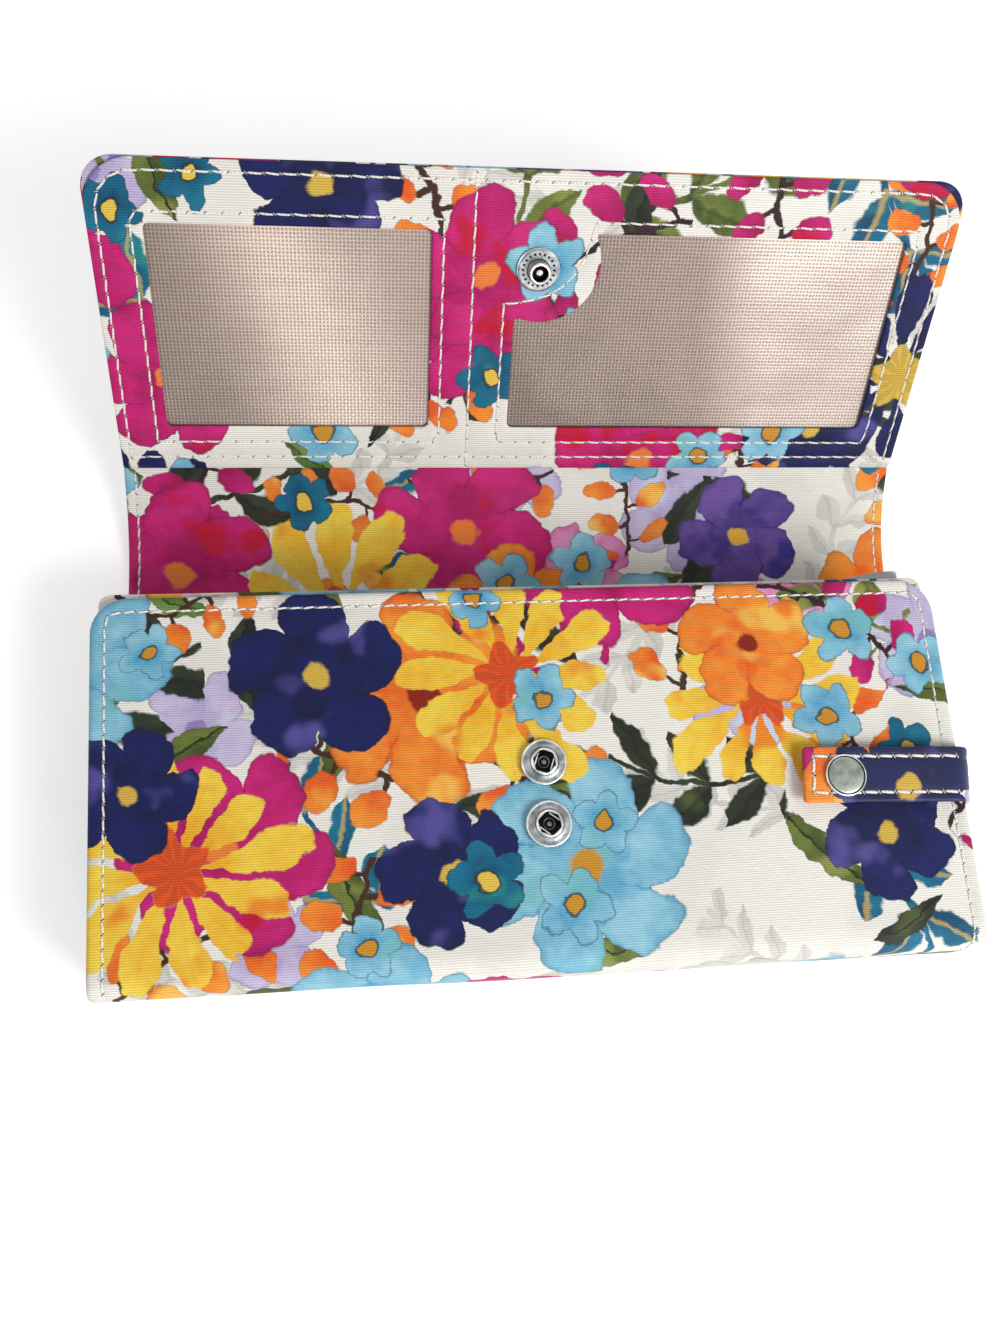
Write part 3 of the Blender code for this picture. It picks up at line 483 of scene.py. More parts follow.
def painted_layer(t, place, order, layer):
    """Scatters one kind of motif over cells: the place on it, a chance for its paint, and if it shows."""
    _, _, cell, least, most, share, _ = layer
    named = {"Vector": place, "Rotation": (0, 0, 0.7 * order + 0.3), "Scale": (1 / cell,) * 3}
    spot = t.wire("Mapping", named=named)
    spot = t.vector("ADD", spot, (order * 7.37, order * 3.91, 0.0))
    x, y, _ = t.split(spot)
    corner = t.join(t.math("FLOOR", x), t.math("FLOOR", y), float(order))
    hashed = t.node("TexWhiteNoise", named={"Vector": corner}, noise_dimensions="3D")
    chance, rolled = Wire(t, hashed.outputs["Value"]), Wire(t, hashed.outputs["Color"])
    one, two, three = t.split(rolled)
    radius = one * (most - least) + least
    room = 1.0 - radius * 2.0
    local = t.vector("SUBTRACT", spot, corner)
    middle = t.join((two - 0.5) * room + 0.5, (three - 0.5) * room + 0.5)
    local = t.vector("SUBTRACT", local, middle)
    x, y, _ = t.split(local)
    local = t.join(x / radius, y / radius)
    named = {"Vector": local, "Angle": chance * math.tau}
    turned_place = t.wire("VectorRotate", named=named, rotation_type="Z_AXIS")
    pick = t.math("FRACT", two * 7.0 + one * 5.0)
    shows = t.math("LESS_THAN", t.math("FRACT", three * 9.0 + one * 3.0), share)
    return turned_place, pick, shows


def banded(t, pick, colours):
    """One of several colours, each over an equal band of the pick."""
    node = t.node("ValToRGB", (pick,))
    node.color_ramp.interpolation = "CONSTANT"
    points = node.color_ramp.elements
    while len(points) < len(colours):
        points.new(0.5)
    for i, colour in enumerate(colours):
        points[i].position = i / len(colours)
    for i, colour in enumerate(colours):
        points[i].color = colour
    return Wire(t, node.outputs[0])


def print_group():
    """The floral print as a node group: place on the cloth in millimetres to colour."""
    group = bpy.data.node_groups.new("floral_print", "ShaderNodeTree")
    group.interface.new_socket("Place", in_out="INPUT", socket_type="NodeSocketVector")
    group.interface.new_socket("Color", in_out="OUTPUT", socket_type="NodeSocketColor")
    t = Tree(group)
    place = Wire(t, t.nodes.new("NodeGroupInput").outputs[0])
    wobble = t.noise(place, 0.16, 3.0, 0.55, "Color")
    drift = t.vector("MULTIPLY", t.vector("SUBTRACT", wobble, (0.5, 0.5, 0.5)), (5.0, 5.0, 0.0))
    painted = t.vector("ADD", place, drift)
    wash = t.ramp(t.noise(place, 0.085, 3.0, 0.6), 0.35, 0.65)
    bleed = t.ramp(t.noise(place, 0.3, 4.0, 0.65), 0.3, 0.75)
    flow = t.ramp(t.noise(t.vector("ADD", place, (71.0, 13.0, 0.0)), 0.07, 2.0, 0.5), 0.56, 0.68)
    colour = t.mix(t.ramp(t.noise(place, 0.05), 0.45, 0.6), GROUND, srgb(236, 233, 226))
    for order, layer in enumerate(LAYERS):
        kind, count, paints = layer[0], layer[1], layer[-1]
        local, pick, shows = painted_layer(t, painted, order, layer)
        mask, tone, core, ink = DRAWERS[kind](t, local, count)
        tone = t.math("MINIMUM", tone * 0.5 + wash * 0.5 + bleed * 0.2, 1.0)
        light, deep, flush, heart = (banded(t, pick, [PAINTS[p][k] for p in paints]) for k in range(4))
        petal = t.mix(tone, light, deep)
        petal = t.mix(flow * 0.85, petal, flush)
        petal = t.mix(core, petal, PAINTS["dark"][1] if kind == "berries" else heart)
        petal = t.mix(ink, petal, INK)
        colour = t.mix(mask * shows, colour, petal)
    output = t.nodes.new("NodeGroupOutput")
    t.feed(output.inputs[0], colour)
    return group


def new_material(name):
    material = bpy.data.materials.new(name)
    material.use_nodes = True
    return material, Tree(material.node_tree), material.node_tree.nodes["Principled BSDF"]


def cloth_place(t):
    """The place on the cloth in millimetres; the cloth's flat map is in metres."""
    place = t.vector("SCALE", t.wire("UVMap", uv_map="cloth"))
    place.socket.node.inputs["Scale"].default_value = 1 / MM
    return place


def finish(t, shader, colour, roughness, height, strength, depth, **sockets):
    """Feeds a shader's colour, roughness and bumps, and sets its other sockets."""
    t.feed(shader.inputs["Base Color"], colour)
    t.feed(shader.inputs["Roughness"], roughness)
    bump = t.node("Bump", named={"Height": height, "Strength": strength, "Distance": depth})
    t.feed(shader.inputs["Normal"], Wire(t, bump.outputs[0]))
    for name, value in sockets.items():
        shader.inputs[name.replace("_", " ")].default_value = value


def weave(t, place, pitch, columns):
    """Ribs and knuckles of a ribbed plain weave, each from 0 to 1."""
    x, y, _ = t.split(place)
    row = y / pitch
    odd = t.math("MODULO", t.math("FLOOR", row), 2.0)
    return t.wave("SINE", row), t.wave("SINE", x / columns + odd * 0.5)


def canvas(name, group, offset, gloss=0.0):
    """Coated canvas with the print laid on it from an offset in millimetres."""
    material, t, shader = new_material(name)
    place = cloth_place(t)
    prints = t.node("Group", node_tree=group)
    t.feed(prints.inputs[0], t.wire("Mapping", named={"Vector": place, "Location": (*offset, 0)}))
    rib, knuckle = weave(t, place, 0.52, 0.46)
    slub = t.noise(t.vector("MULTIPLY", place, (0.4, 3.0, 1.0)), 1.0, 3.0)
    # Painted shade in the weave's valleys: the print is darkened there, and the valleys are also rougher
    valley = t.ramp(rib * 0.6 + knuckle * 0.4 + slub * 0.4, 1.0, 0.35)
    colour = t.mix(valley * 0.55, Wire(t, prints.outputs[0]), (0.42, 0.40, 0.37, 1), "MULTIPLY")
    roughness = valley * 0.2 + (0.5 - 0.2 * gloss)
    height = rib * 0.05 + knuckle * 0.03 + slub * 0.03 + t.noise(place, 0.06, 3.0) * 0.35
    shine = {"Specular_IOR_Level": 0.2 + 0.15 * gloss, "Coat_Weight": 0.3 * gloss, "Coat_Roughness": 0.3}
    finish(t, shader, colour, roughness, height, 0.55, 1.0 * MM, **shine)
    return material


def satin(name, colour, deep, roughness, pitch):
    """Lining: threads of one colour, darker between them, with a soft shine."""
    material, t, shader = new_material(name)
    place = cloth_place(t)
    rib, knuckle = weave(t, place, pitch, pitch)
    cross = t.wave("SINE", t.split(place)[0] / pitch)
    thread = t.math("MAXIMUM", rib, cross) * 0.7 + knuckle * rib * 0.3
    streak = t.noise(t.vector("MULTIPLY", place, (0.08, 0.9, 1.0)), 1.0, 3.0)
    colour = t.mix(t.ramp(thread, 0.25, 0.95), deep, colour)
    colour = t.mix(streak * 0.14, colour, WHITE)
    shine = {"Sheen_Weight": 0.25, "Sheen_Roughness": 0.35, "Specular_IOR_Level": 0.6}
    finish(t, shader, colour, streak * 0.12 + roughness, thread, 0.7, 0.12 * MM, **shine)
    return material


def soft(t, value, width):
    """The positive part of a value, with its corner rounded over a width."""
    return (value + t.math("SQRT", value * value + width * width)) * 0.5


def slack(t, x, y, slope, folds):
    """Height of slack net: an even slope, with a rounded bend at each fold."""
    height = x * slope
    for side, fold_x, fold_y, lean, width, bend in folds:
        height = height + soft(t, (x - fold_x + (y - fold_y) * lean) * side, width) * bend
    return height


def net(name, light, gap):
    """Fine net over satin: round threads both ways, with the broad soft folds of slack cloth, and bands of
    painted highlight with painted shade between them.
    """
    material, t, shader = new_material(name)
    place = cloth_place(t)
    stray = t.vector("SUBTRACT", t.noise(place, 0.9, 3.0, 0.6, "Color"), (0.5, 0.5, 0.5))
    x, y, _ = t.split(t.vector("ADD", place, t.vector("MULTIPLY", stray, (0.28, 0.28, 0.0))))
    column, row = x / NET_PITCH, y / NET_PITCH
    odd = t.math("MODULO", abs(t.math("ROUND", column) + t.math("ROUND", row)), 2.0)
    warp, weft = t.wave("COSINE", column) * (odd * 0.3 + 0.7), t.wave("COSINE", row) * (1.0 - odd * 0.3)
    thread = t.math("MAXIMUM", warp, weft)
    streak = t.noise(t.vector("MULTIPLY", place, (0.06, 0.8, 1.0)), 1.0, 3.0)
    colour = t.mix(t.ramp(thread, 0.35, 0.85), gap, light)
    colour = t.mix(streak * 0.16, colour, WHITE)

    # Bands of painted highlight that stand for the satin's sheen, with painted shade on the rest of the net
    x, y, _ = t.split(place)
    right = t.math("GREATER_THAN", x, NET_PARTING)
    left = 1.0 - right
    rise = y - NET_FOOT
    off = (x - LEFT_PAINTED_HIGHLIGHT[0] + rise * LEFT_PAINTED_HIGHLIGHT[1]) / LEFT_PAINTED_HIGHLIGHT[2]
    left_painted_highlight = t.math("EXPONENT", off * off * -1.0)
    right_painted_highlight = t.ramp(x + rise * RIGHT_PAINTED_HIGHLIGHT[0], RIGHT_PAINTED_HIGHLIGHT[1], RIGHT_PAINTED_HIGHLIGHT[2])
    bright = t.mix(1.0, colour, t.mix(right, LEFT_PAINTED_GLEAM, WHITE), "MULTIPLY")
    shaded = t.mix(1.0, colour, NET_PAINTED_SHADE, "MULTIPLY")
    colour = t.mix(left_painted_highlight * left + right_painted_highlight * right, shaded, bright)
    height = slack(t, x, y, *LEFT_SLACK) * left + slack(t, x, y, *RIGHT_SLACK) * right
    height = height + thread * 0.035 + t.noise(place, 0.035, 2.0) * 1.2
    shine = {"Metallic": 0.38, "Specular_IOR_Level": 0.7, "Sheen_Weight": 0.15, "Sheen_Roughness": 0.4}
    finish(t, shader, colour, streak * 0.08 + 0.33, height, 1.0, 1.0 * MM, **shine)
    return material


def thread_material():
    """Twisted white thread; its map is in turns round it and metres along it."""
    material, t, shader = new_material("sewing_thread")
    x, y, _ = t.split(t.wire("UVMap", uv_map="cloth"))
    ply = t.wave("SINE", y * THREAD_TWIST + x)
    fuzz = t.noise(t.own_place(), 4000.0, 2.0)
    colour = t.mix(ply * 0.6 + fuzz * 0.3, srgb(206, 200, 190), srgb(252, 250, 244))
    finish(t, shader, colour, fuzz * 0.2 + 0.4, ply, 0.6, 0.08 * MM, Sheen_Weight=0.3)
    return material


def steel(name, light, dark, roughness):
    """Plated steel with fine turning marks, small dents and dull patches."""
    material, t, shader = new_material(name)
    place = t.own_place()
    patch, fine = t.noise(place, 420.0, 4.0, 0.6), t.noise(place, 5200.0, 3.0, 0.7)
    colour = t.mix(t.ramp(patch, 0.3, 0.7), dark, light)
    worn = patch * 0.22 + fine * 0.08 + roughness
    finish(t, shader, colour, worn, patch + fine * 0.3, 0.25, 0.05 * MM, Metallic=1.0)
    return material


def plain_cloth(name, colour, deep, roughness):
    """Twill in one colour, for the zipper's tape and the painted shade at the needle holes."""
    material, t, shader = new_material(name)
    place = t.own_place()
    x, y, z = t.split(place)
    twill = t.math("SINE", (x + y + z) * TWILL) * 0.5 + 0.5
    fuzz = t.noise(place, 900.0, 3.0)
    colour = t.mix(twill * 0.6 + fuzz * 0.4, deep, colour)
    finish(t, shader, colour, fuzz * 0.15 + roughness, twill, 0.5, 0.08 * MM)
    return material


# Outlines, as loops of (x, v) that run anticlockwise
def straight(start, end, step):
    """Points from start to end, without end."""
    count = max(1, round(math.dist(start, end) / step))
    return [tuple(np.array(start) + (np.array(end) - np.array(start)) * i / count) for i in range(count)]


def arc(centre, radius, start, end, step):
    count = max(3, round(abs(math.radians(end - start)) * radius / step))
    turns = [math.radians(start + (end - start) * i / count) for i in range(count + 1)]
    return [(centre[0] + radius * math.cos(a), centre[1] + radius * math.sin(a)) for a in turns]


def rounded(x_low, x_high, v_low, v_high, radii, step):
    """A rectangle with corner radii from the low left one, anticlockwise."""
    corners = (
        (x_low, v_low, 1, 1, 180, radii[0]),
        (x_high, v_low, -1, 1, 270, radii[1]),
        (x_high, v_high, -1, -1, 0, radii[2]),
        (x_low, v_high, 1, -1, 90, radii[3]),
    )
    turns = []
    for x, v, x_in, v_in, start, radius in corners:
        if radius > 0:
            turns.append(arc((x + x_in * radius, v + v_in * radius), radius, start, start + 90, step / 2))
        else:
            turns.append([(x, v)])
    points = []
    for i, turn in enumerate(turns):
        points += turn[:-1]
        points += straight(turn[-1], turns[(i + 1) % 4][0], step)
    return np.array(points)


def inside(points, loops):
    found = np.zeros(len(points), bool)
    px, py = points[:, 0], points[:, 1]
    for loop in loops:
        for (x0, y0), (x1, y1) in zip(loop, np.roll(loop, -1, axis=0)):
            if y0 != y1:
                crosses = (y0 > py) != (y1 > py)
                found ^= crosses & (px < x0 + (py - y0) / (y1 - y0) * (x1 - x0))
    return found


def stretch_gap(points, a, b):
    """Distance of each point to the straight stretch from a to b."""
    along = b - a
    t = np.clip((points - a) @ along / (along @ along), 0, 1)
    return np.linalg.norm(points - a - t[:, None] * along, axis=1)


def nearest(points, loops, skip=()):
    """Distance of each point to the loops, less the edges that lie at a skipped v."""
    best = np.full(len(points), FAR_OFF)
    for loop in loops:
        for a, b in zip(loop, np.roll(loop, -1, axis=0)):
            if not any(abs(a[1] - v) < SAME and abs(b[1] - v) < SAME for v in skip):
                best = np.minimum(best, stretch_gap(points, a, b))
    return best


def path_gap(points, paths):
    """Distance of each point to the nearest of some open paths."""
    best = np.full(len(points), FAR_OFF)
    for path in paths:
        for a, b in zip(path[:-1], path[1:]):
            best = np.minimum(best, stretch_gap(points, a, b))
    return best


def ease(value, start, end):
    t = np.clip((value - start) / (end - start), 0, 1)
    return t * t * (3 - 2 * t)


def unit(vectors, axis=1):
    return vectors / np.linalg.norm(vectors, axis=axis, keepdims=True)


def left_of(along):
    return np.stack([-along[:, 1], along[:, 0]], axis=1)


def side_normals(points):
    """Unit normals to the left of a line of 2-D points."""
    return unit(left_of(np.gradient(points, axis=0)))


def lengths_along(path):
    """Distance along a line from its start to each of its points."""
    return np.concatenate([[0], np.cumsum(np.linalg.norm(np.diff(path, axis=0), axis=1))])


def follow(line, lengths, at):
    """Points of a 2-D line at some of the lengths along it."""
    return np.stack([np.interp(at, lengths, line[:, k]) for k in (0, 1)], axis=1)


def resampled(path, step=OUTLINE_STEP):
    """Evenly spaced points along a line, with both its ends."""
    path = np.asarray(path, float)
    far = lengths_along(path)
    return follow(path, far, np.linspace(0, far[-1], max(2, round(far[-1] / step) + 1)))


def smoothed(points, reach):
    """Rounds a line's bends off; its ends keep their place."""
    pad = 2 * reach
    weights = np.exp(-0.5 * (np.arange(-pad, pad + 1) / reach) ** 2)
    weights /= weights.sum()
    before = 2 * points[0] - points[pad:0:-1]
    after = 2 * points[-1] - points[-2 : -pad - 2 : -1]
    padded = np.vstack([before, points, after])
    return np.stack([np.convolve(padded[:, k], weights, mode="valid") for k in (0, 1)], axis=1)


class Panel:
    """A piece of fabric laid out flat as loops, with the surface that each of its faces follows.

    place(x, v, share, lift) gives points in the row frame; share is 0 on the low face and 1 on the
    high one, and lift stands off along the way from low to high. seams are the lines of stitches,
    along which the fabric is drawn in, and opens are the v of edges where another piece goes on.
    rim gives the share at which the faces meet along a free edge, and the reach of the low one.
    """

    RING_SHARES = (0.07, 0.28, 0.6, 1.0)
    RING_BEYOND = 0.8 * MM
    DIP_REACH = 0.6 * MM
    SEAM_OFFSETS = (-0.5 * MM, 0, 0.5 * MM)
    EDGE_CLEAR = 0.4 * MM
    SEAM_CLEAR = 0.9 * MM
    ROW_SHARE = 0.87

    def __init__(self, loops, place, edge, seams=(), relief=None, opens=(), dip=0.24 * MM, rim=None):
        self.loops = loops
        self.place = place
        self.edge = edge
        self.rim = rim
        self.seams = [np.asarray(seam, float) for seam in seams]
        self.relief = relief
        self.opens = opens
        self.dip = dip

    def points(self, flat, side, lift=0.0):
        """Row frame points on one face, with its rounded edge, seam dips and relief."""
        flat = np.asarray(flat, float).reshape(-1, 2)
        distance = nearest(flat, self.loops, self.opens)
        meet, low_edge = self.rim(flat[:, 1]) if self.rim else (0.5, self.edge)
        edge = self.edge if side else low_edge
        fullness = np.sqrt(1 - (1 - np.clip(distance / edge, 0, 1)) ** 2)
        share = meet + (side - meet) * fullness
        out = 1 if side else -1
        height = np.zeros(len(flat))
        if self.seams:
            height -= self.dip * np.exp(-((path_gap(flat, self.seams) / self.DIP_REACH) ** 2))
        if self.relief:
            height += self.relief(flat[:, 0], flat[:, 1], distance, side)
        return self.place(flat[:, 0], flat[:, 1], share, out * (height * fullness + lift))

    def frame_at(self, flat, side):
        """Points on a face and the directions away from it."""
        on = self.points(flat, side)
        return on, unit(self.points(flat, side, 0.1 * MM) - on)

    def kept(self, points, gap):
        """The points inside the loops that stand off them by more than a gap."""
        return points[inside(points, self.loops) & (nearest(points, self.loops) > gap)]

    def sites(self, spacing):
        """The flat points to mesh: the loops, rings that follow them and the seams, and a lattice."""
        offsets = [self.edge * share for share in self.RING_SHARES] + [self.edge + self.RING_BEYOND]
        bound = np.vstack(self.loops)
        found = [bound]
        for loop in self.loops:
            normal = unit(left_of(np.roll(loop, -1, axis=0) - np.roll(loop, 1, axis=0)))
            found += [self.kept(loop + normal * offset, offset * 0.93) for offset in offsets]
        for seam in self.seams:
            normal = side_normals(seam)
            found += [self.kept(seam + normal * offset, self.EDGE_CLEAR) for offset in self.SEAM_OFFSETS]
        low, high = bound.min(0), bound.max(0)
        columns = np.arange(low[0] + spacing / 2, high[0], spacing)
        rows = np.arange(low[1] + spacing / 2, high[1], spacing * self.ROW_SHARE)
        lattice = np.array([(x + (j % 2) * spacing / 2, y) for j, y in enumerate(rows) for x in columns])
        lattice = self.kept(lattice, offsets[-1] * 0.5 + spacing / 3)
        if self.seams:
            lattice = lattice[path_gap(lattice, self.seams) > self.SEAM_CLEAR]
        return np.vstack(found + [lattice])

    def triangulated(self, spacing):
        """The flat points and the triangles between them, anticlockwise."""
        flat = self.sites(spacing)
        edges, start = [], 0
        for loop in self.loops:
            count = len(loop)
            edges += [(start + i, start + (i + 1) % count) for i in range(count)]
            start += count
        solved = geometry.delaunay_2d_cdt([Vector(p * 1000) for p in flat], edges, [], 0, 1e-5)
        points = np.array([tuple(p) for p in solved[0]]) / 1000
        triangles = np.array([f for f in solved[2] if len(f) == 3])
        triangles = triangles[inside(points[triangles].mean(1), self.loops)]
        corner = points[triangles]
        spans = corner[:, 1:] - corner[:, :1]
        areas = spans[:, 0, 0] * spans[:, 1, 1] - spans[:, 0, 1] * spans[:, 1, 0]
        triangles, areas = triangles[np.abs(areas) > NO_AREA], areas[np.abs(areas) > NO_AREA]
        triangles[areas < 0] = triangles[areas < 0][:, ::-1]
        return points, triangles

    def build(self, name, material, spacing=2.4 * MM):
        """A closed mesh: both faces share their free edge, and a wall closes an open one."""
        points, triangles = self.triangulated(spacing)
        pairs = dict.fromkeys(p for a, b, c in triangles.tolist() for p in ((a, b), (b, c), (c, a)))
        rim = [(a, b) for a, b in pairs if (b, a) not in pairs]
        count = len(points)
        opened, free = np.zeros(count, bool), np.zeros(count, bool)
        for v in self.opens:
            opened |= np.abs(points[:, 1] - v) < SAME
        for a, b in rim:
            if not (opened[a] and opened[b]):
                free[[a, b]] = True
        top, under = self.points(points, 1), self.points(points, 0)
        top[free] = (top[free] + under[free]) / 2
        below = np.where(free, np.arange(count), np.arange(count) + count)
        faces = triangles.tolist() + [[int(below[i]) for i in tri[::-1]] for tri in triangles]
        for a, b in rim:
            if opened[a] and opened[b]:
                wall = [int(i) for i in (b, a, below[a], below[b])]
                faces.append([i for k, i in enumerate(wall) if i not in wall[:k]])
        return mesh_object(name, np.vstack([top, under]), faces, np.vstack([points, points]), material)


def link(name, data):
    obj = bpy.data.objects.new(name, data)
    bpy.context.scene.collection.objects.link(obj)
    return obj


def shade(mesh, sharp):
    """Smooth shading, but for edges that bend by more than an angle in degrees."""
    mesh.shade_smooth()
    mesh.set_sharp_from_angle(angle=math.radians(sharp))


def mesh_object(name, vertices, faces, flat_uv, material):
    """A mesh piece with the cloth UV map, unused vertices left out."""
    used = sorted({i for face in faces for i in face})
    index = {old: new for new, old in enumerate(used)}
    mesh = bpy.data.meshes.new(name)
    mesh.from_pydata([tuple(vertices[i]) for i in used], [], [[index[i] for i in f] for f in faces])
    if flat_uv is not None:
        layer = mesh.uv_layers.new(name="cloth")
        flat_uv = np.asarray(flat_uv)[used]
        corners = np.zeros(len(mesh.loops), np.int32)
        mesh.loops.foreach_get("vertex_index", corners)
        layer.data.foreach_set("uv", flat_uv[corners].astype(np.float32).ravel())
    mesh.materials.append(material)
    shade(mesh, 50)
    return link(name, mesh)


def outward(mesh, weld=False):
    """Turns a mesh's faces outward; weld joins the points that lie on one another first."""
    bm = bmesh.new()
    bm.from_mesh(mesh)
    if weld:
        bmesh.ops.remove_doubles(bm, verts=bm.verts, dist=SAME)
        bmesh.ops.dissolve_degenerate(bm, edges=bm.edges, dist=SAME / 10)
    bmesh.ops.recalc_face_normals(bm, faces=bm.faces)
    bm.to_mesh(mesh)
    bm.free()


def lie(points):
    """The shift of soft pieces on the front, which lies drawn aside, turned and sheared on the block."""
    side, y = (points[:, 0] - MIDDLE_X) / HALF_WIDTH, points[:, 1]
    weight = np.clip(points[:, 2] / FRONT_HIGH.z, 0, 1)
    middle = (FRONT_FOLD.y + FRONT_HIGH.y) / 2
    shear = COVER_SHEAR * (y - middle) / (FRONT_HIGH.y - middle)
    moved = points.copy()
    moved[:, 0] += weight * (COVER_ASIDE + COVER_STRETCH * side + shear)
    moved[:, 1] += weight * (COVER_UP + COVER_TURN * side)
    moved[:, 1] += LEFT_TUCK * 4 * weight * (1 - weight) * np.clip(-side, 0, 1)
    return moved


def laid(point):
    """A place on the cover, shifted as the cover is."""
    return Vector(lie(np.array([tuple(point)]))[0])


class Ribbon:
    """Cloth seen edge on: the lines of its two faces, and the distance s along its middle."""

    def settle(self, low, up, reach):
        """Takes the two lines, with their bends rounded off."""
        self.low, self.up = smoothed(np.array(low), reach), smoothed(np.array(up), reach)
        middle = (self.low + self.up) / 2
        self.s, self.normal = lengths_along(middle), side_normals(middle)

    def section(self, s, share, lift):
        """Points at s, a share of the way from the low line to the other, and lifted off."""
        low, up, normal = (follow(line, self.s, s) for line in (self.low, self.up, self.normal))
        return low + (up - low) * np.asarray(share)[:, None] + normal * np.asarray(lift)[:, None]


class Case(Ribbon):
    """The case's outer and inner lines in the yz plane."""

    STEP = 0.5 * MM
    FOLD_CLEAR = 1.5 * MM
    SPINE_CLEAR = 1 * MM
    FLAP_CLEAR = 2 * MM
    CREASE_SHARE = 0.12

    def __init__(self):
        self.outer, self.inner, self.marks = [], [], {}
        self.run("front_top", FRONT_HIGH.y, FRONT_FOLD.y + self.FOLD_CLEAR, FRONT_HIGH.z, -PANEL)
        self.strip("front_fold", FRONT_FOLD, BOTTOM_FOLD, BOTTOM_SAG, "bottom_middle", BOTTOM_CREASE)
        back_from, back_to = BOTTOM_FOLD.y + self.FOLD_CLEAR, SPINE_FOLD.y - self.SPINE_CLEAR
        self.run("back_start", back_from, back_to, 0.0, PANEL, "back_middle")
        self.strip("spine_fold", SPINE_FOLD, FLAP_FOLD, SPINE_SAG, "spine_middle")
        self.flap()
        self.settle(self.outer, self.inner, 2)
        self.at = {name: float(self.s[i]) for name, i in self.marks.items()}

    def add(self, y, z, side, low, up):
        self.outer.append((y + side[0] * low, z + side[1] * low))
        self.inner.append((y + side[0] * up, z + side[1] * up))

    def run(self, name, start, end, z, thick, middle=None):
        """A flat stretch; its inner face lies at thick above the outer one."""
        self.marks[name] = len(self.outer)
        count = round(abs(end - start) / self.STEP)
        if middle:
            self.marks[middle] = len(self.outer) + count // 2
        for i in range(count + 1):
            self.add(start + (end - start) * i / count, z, (0, 1), 0, thick)

    def strip(self, name, start, end, sag, middle, crease=0.0):
        """A stretch that bows away from the inside, and may be pressed thin at the fold it starts from."""
        self.marks[name] = len(self.outer)
        chord = Vector((end.y - start.y, end.z - start.z))
        inward = Vector((-chord[1], chord[0])).normalized()
        count = round(chord.length / self.STEP)
        self.marks[middle] = len(self.outer) + count // 2
        for i in range(2, count - 1):
            t = i / count
            point = Vector((start.y, start.z)) + chord * t - inward * sag * 4 * t * (1 - t)
            along = chord - inward * sag * 4 * (1 - 2 * t)
            side = Vector((-along[1], along[0])).normalized()
            pressed = crease * math.exp(-t / self.CREASE_SHARE)
            self.add(point[0], point[1], side, pressed - STRIP_HALF, STRIP_HALF)

    def flap(self):
        self.marks["flap_fold"] = len(self.outer)
        start = self.FLAP_CLEAR
        count = round((FLAP_LENGTH - start) / self.STEP)
        side = (-math.sin(FLAP_ANGLE), math.cos(FLAP_ANGLE))
        for i in range(count + 1):
            v = start + (FLAP_LENGTH - start) * i / count
            y, z = FLAP_FOLD.y + v * math.cos(FLAP_ANGLE), FLAP_FOLD.z + v * math.sin(FLAP_ANGLE)
            self.add(y, z, side, FLAP_OUTER_FACE, FLAP_INNER_FACE)
        self.marks["flap_end"] = len(self.outer) - 1

    def place(self, x, s, share, lift):
        point = self.section(s, share, lift)
        placed = np.stack([MIDDLE_X + x, point[:, 0], point[:, 1]], axis=1)
        front = s < self.at["back_start"]
        placed[front] = lie(placed[front])
        return placed


case = Case()


def flap_place(low, high):
    """Places a piece that lies along the flap between two heights over its fold axis."""

    def place(x, v, share, lift):
        height = low + (high - low) * share + lift
        y = FLAP_FOLD.y + v * math.cos(FLAP_ANGLE) - height * math.sin(FLAP_ANGLE)
        z = FLAP_FOLD.z + v * math.sin(FLAP_ANGLE) + height * math.cos(FLAP_ANGLE)
        return np.stack([MIDDLE_X + x, y, z], axis=1)

    return place


def sway(x, v, amount):
    """Slow unevenness of sewn fabric."""
    slow = np.sin(x / (17 * MM) + 1.3) * np.sin(v / (13 * MM) + 0.4)
    return amount * (slow + 0.6 * np.sin(x / (7.3 * MM) + v / (9.1 * MM)))


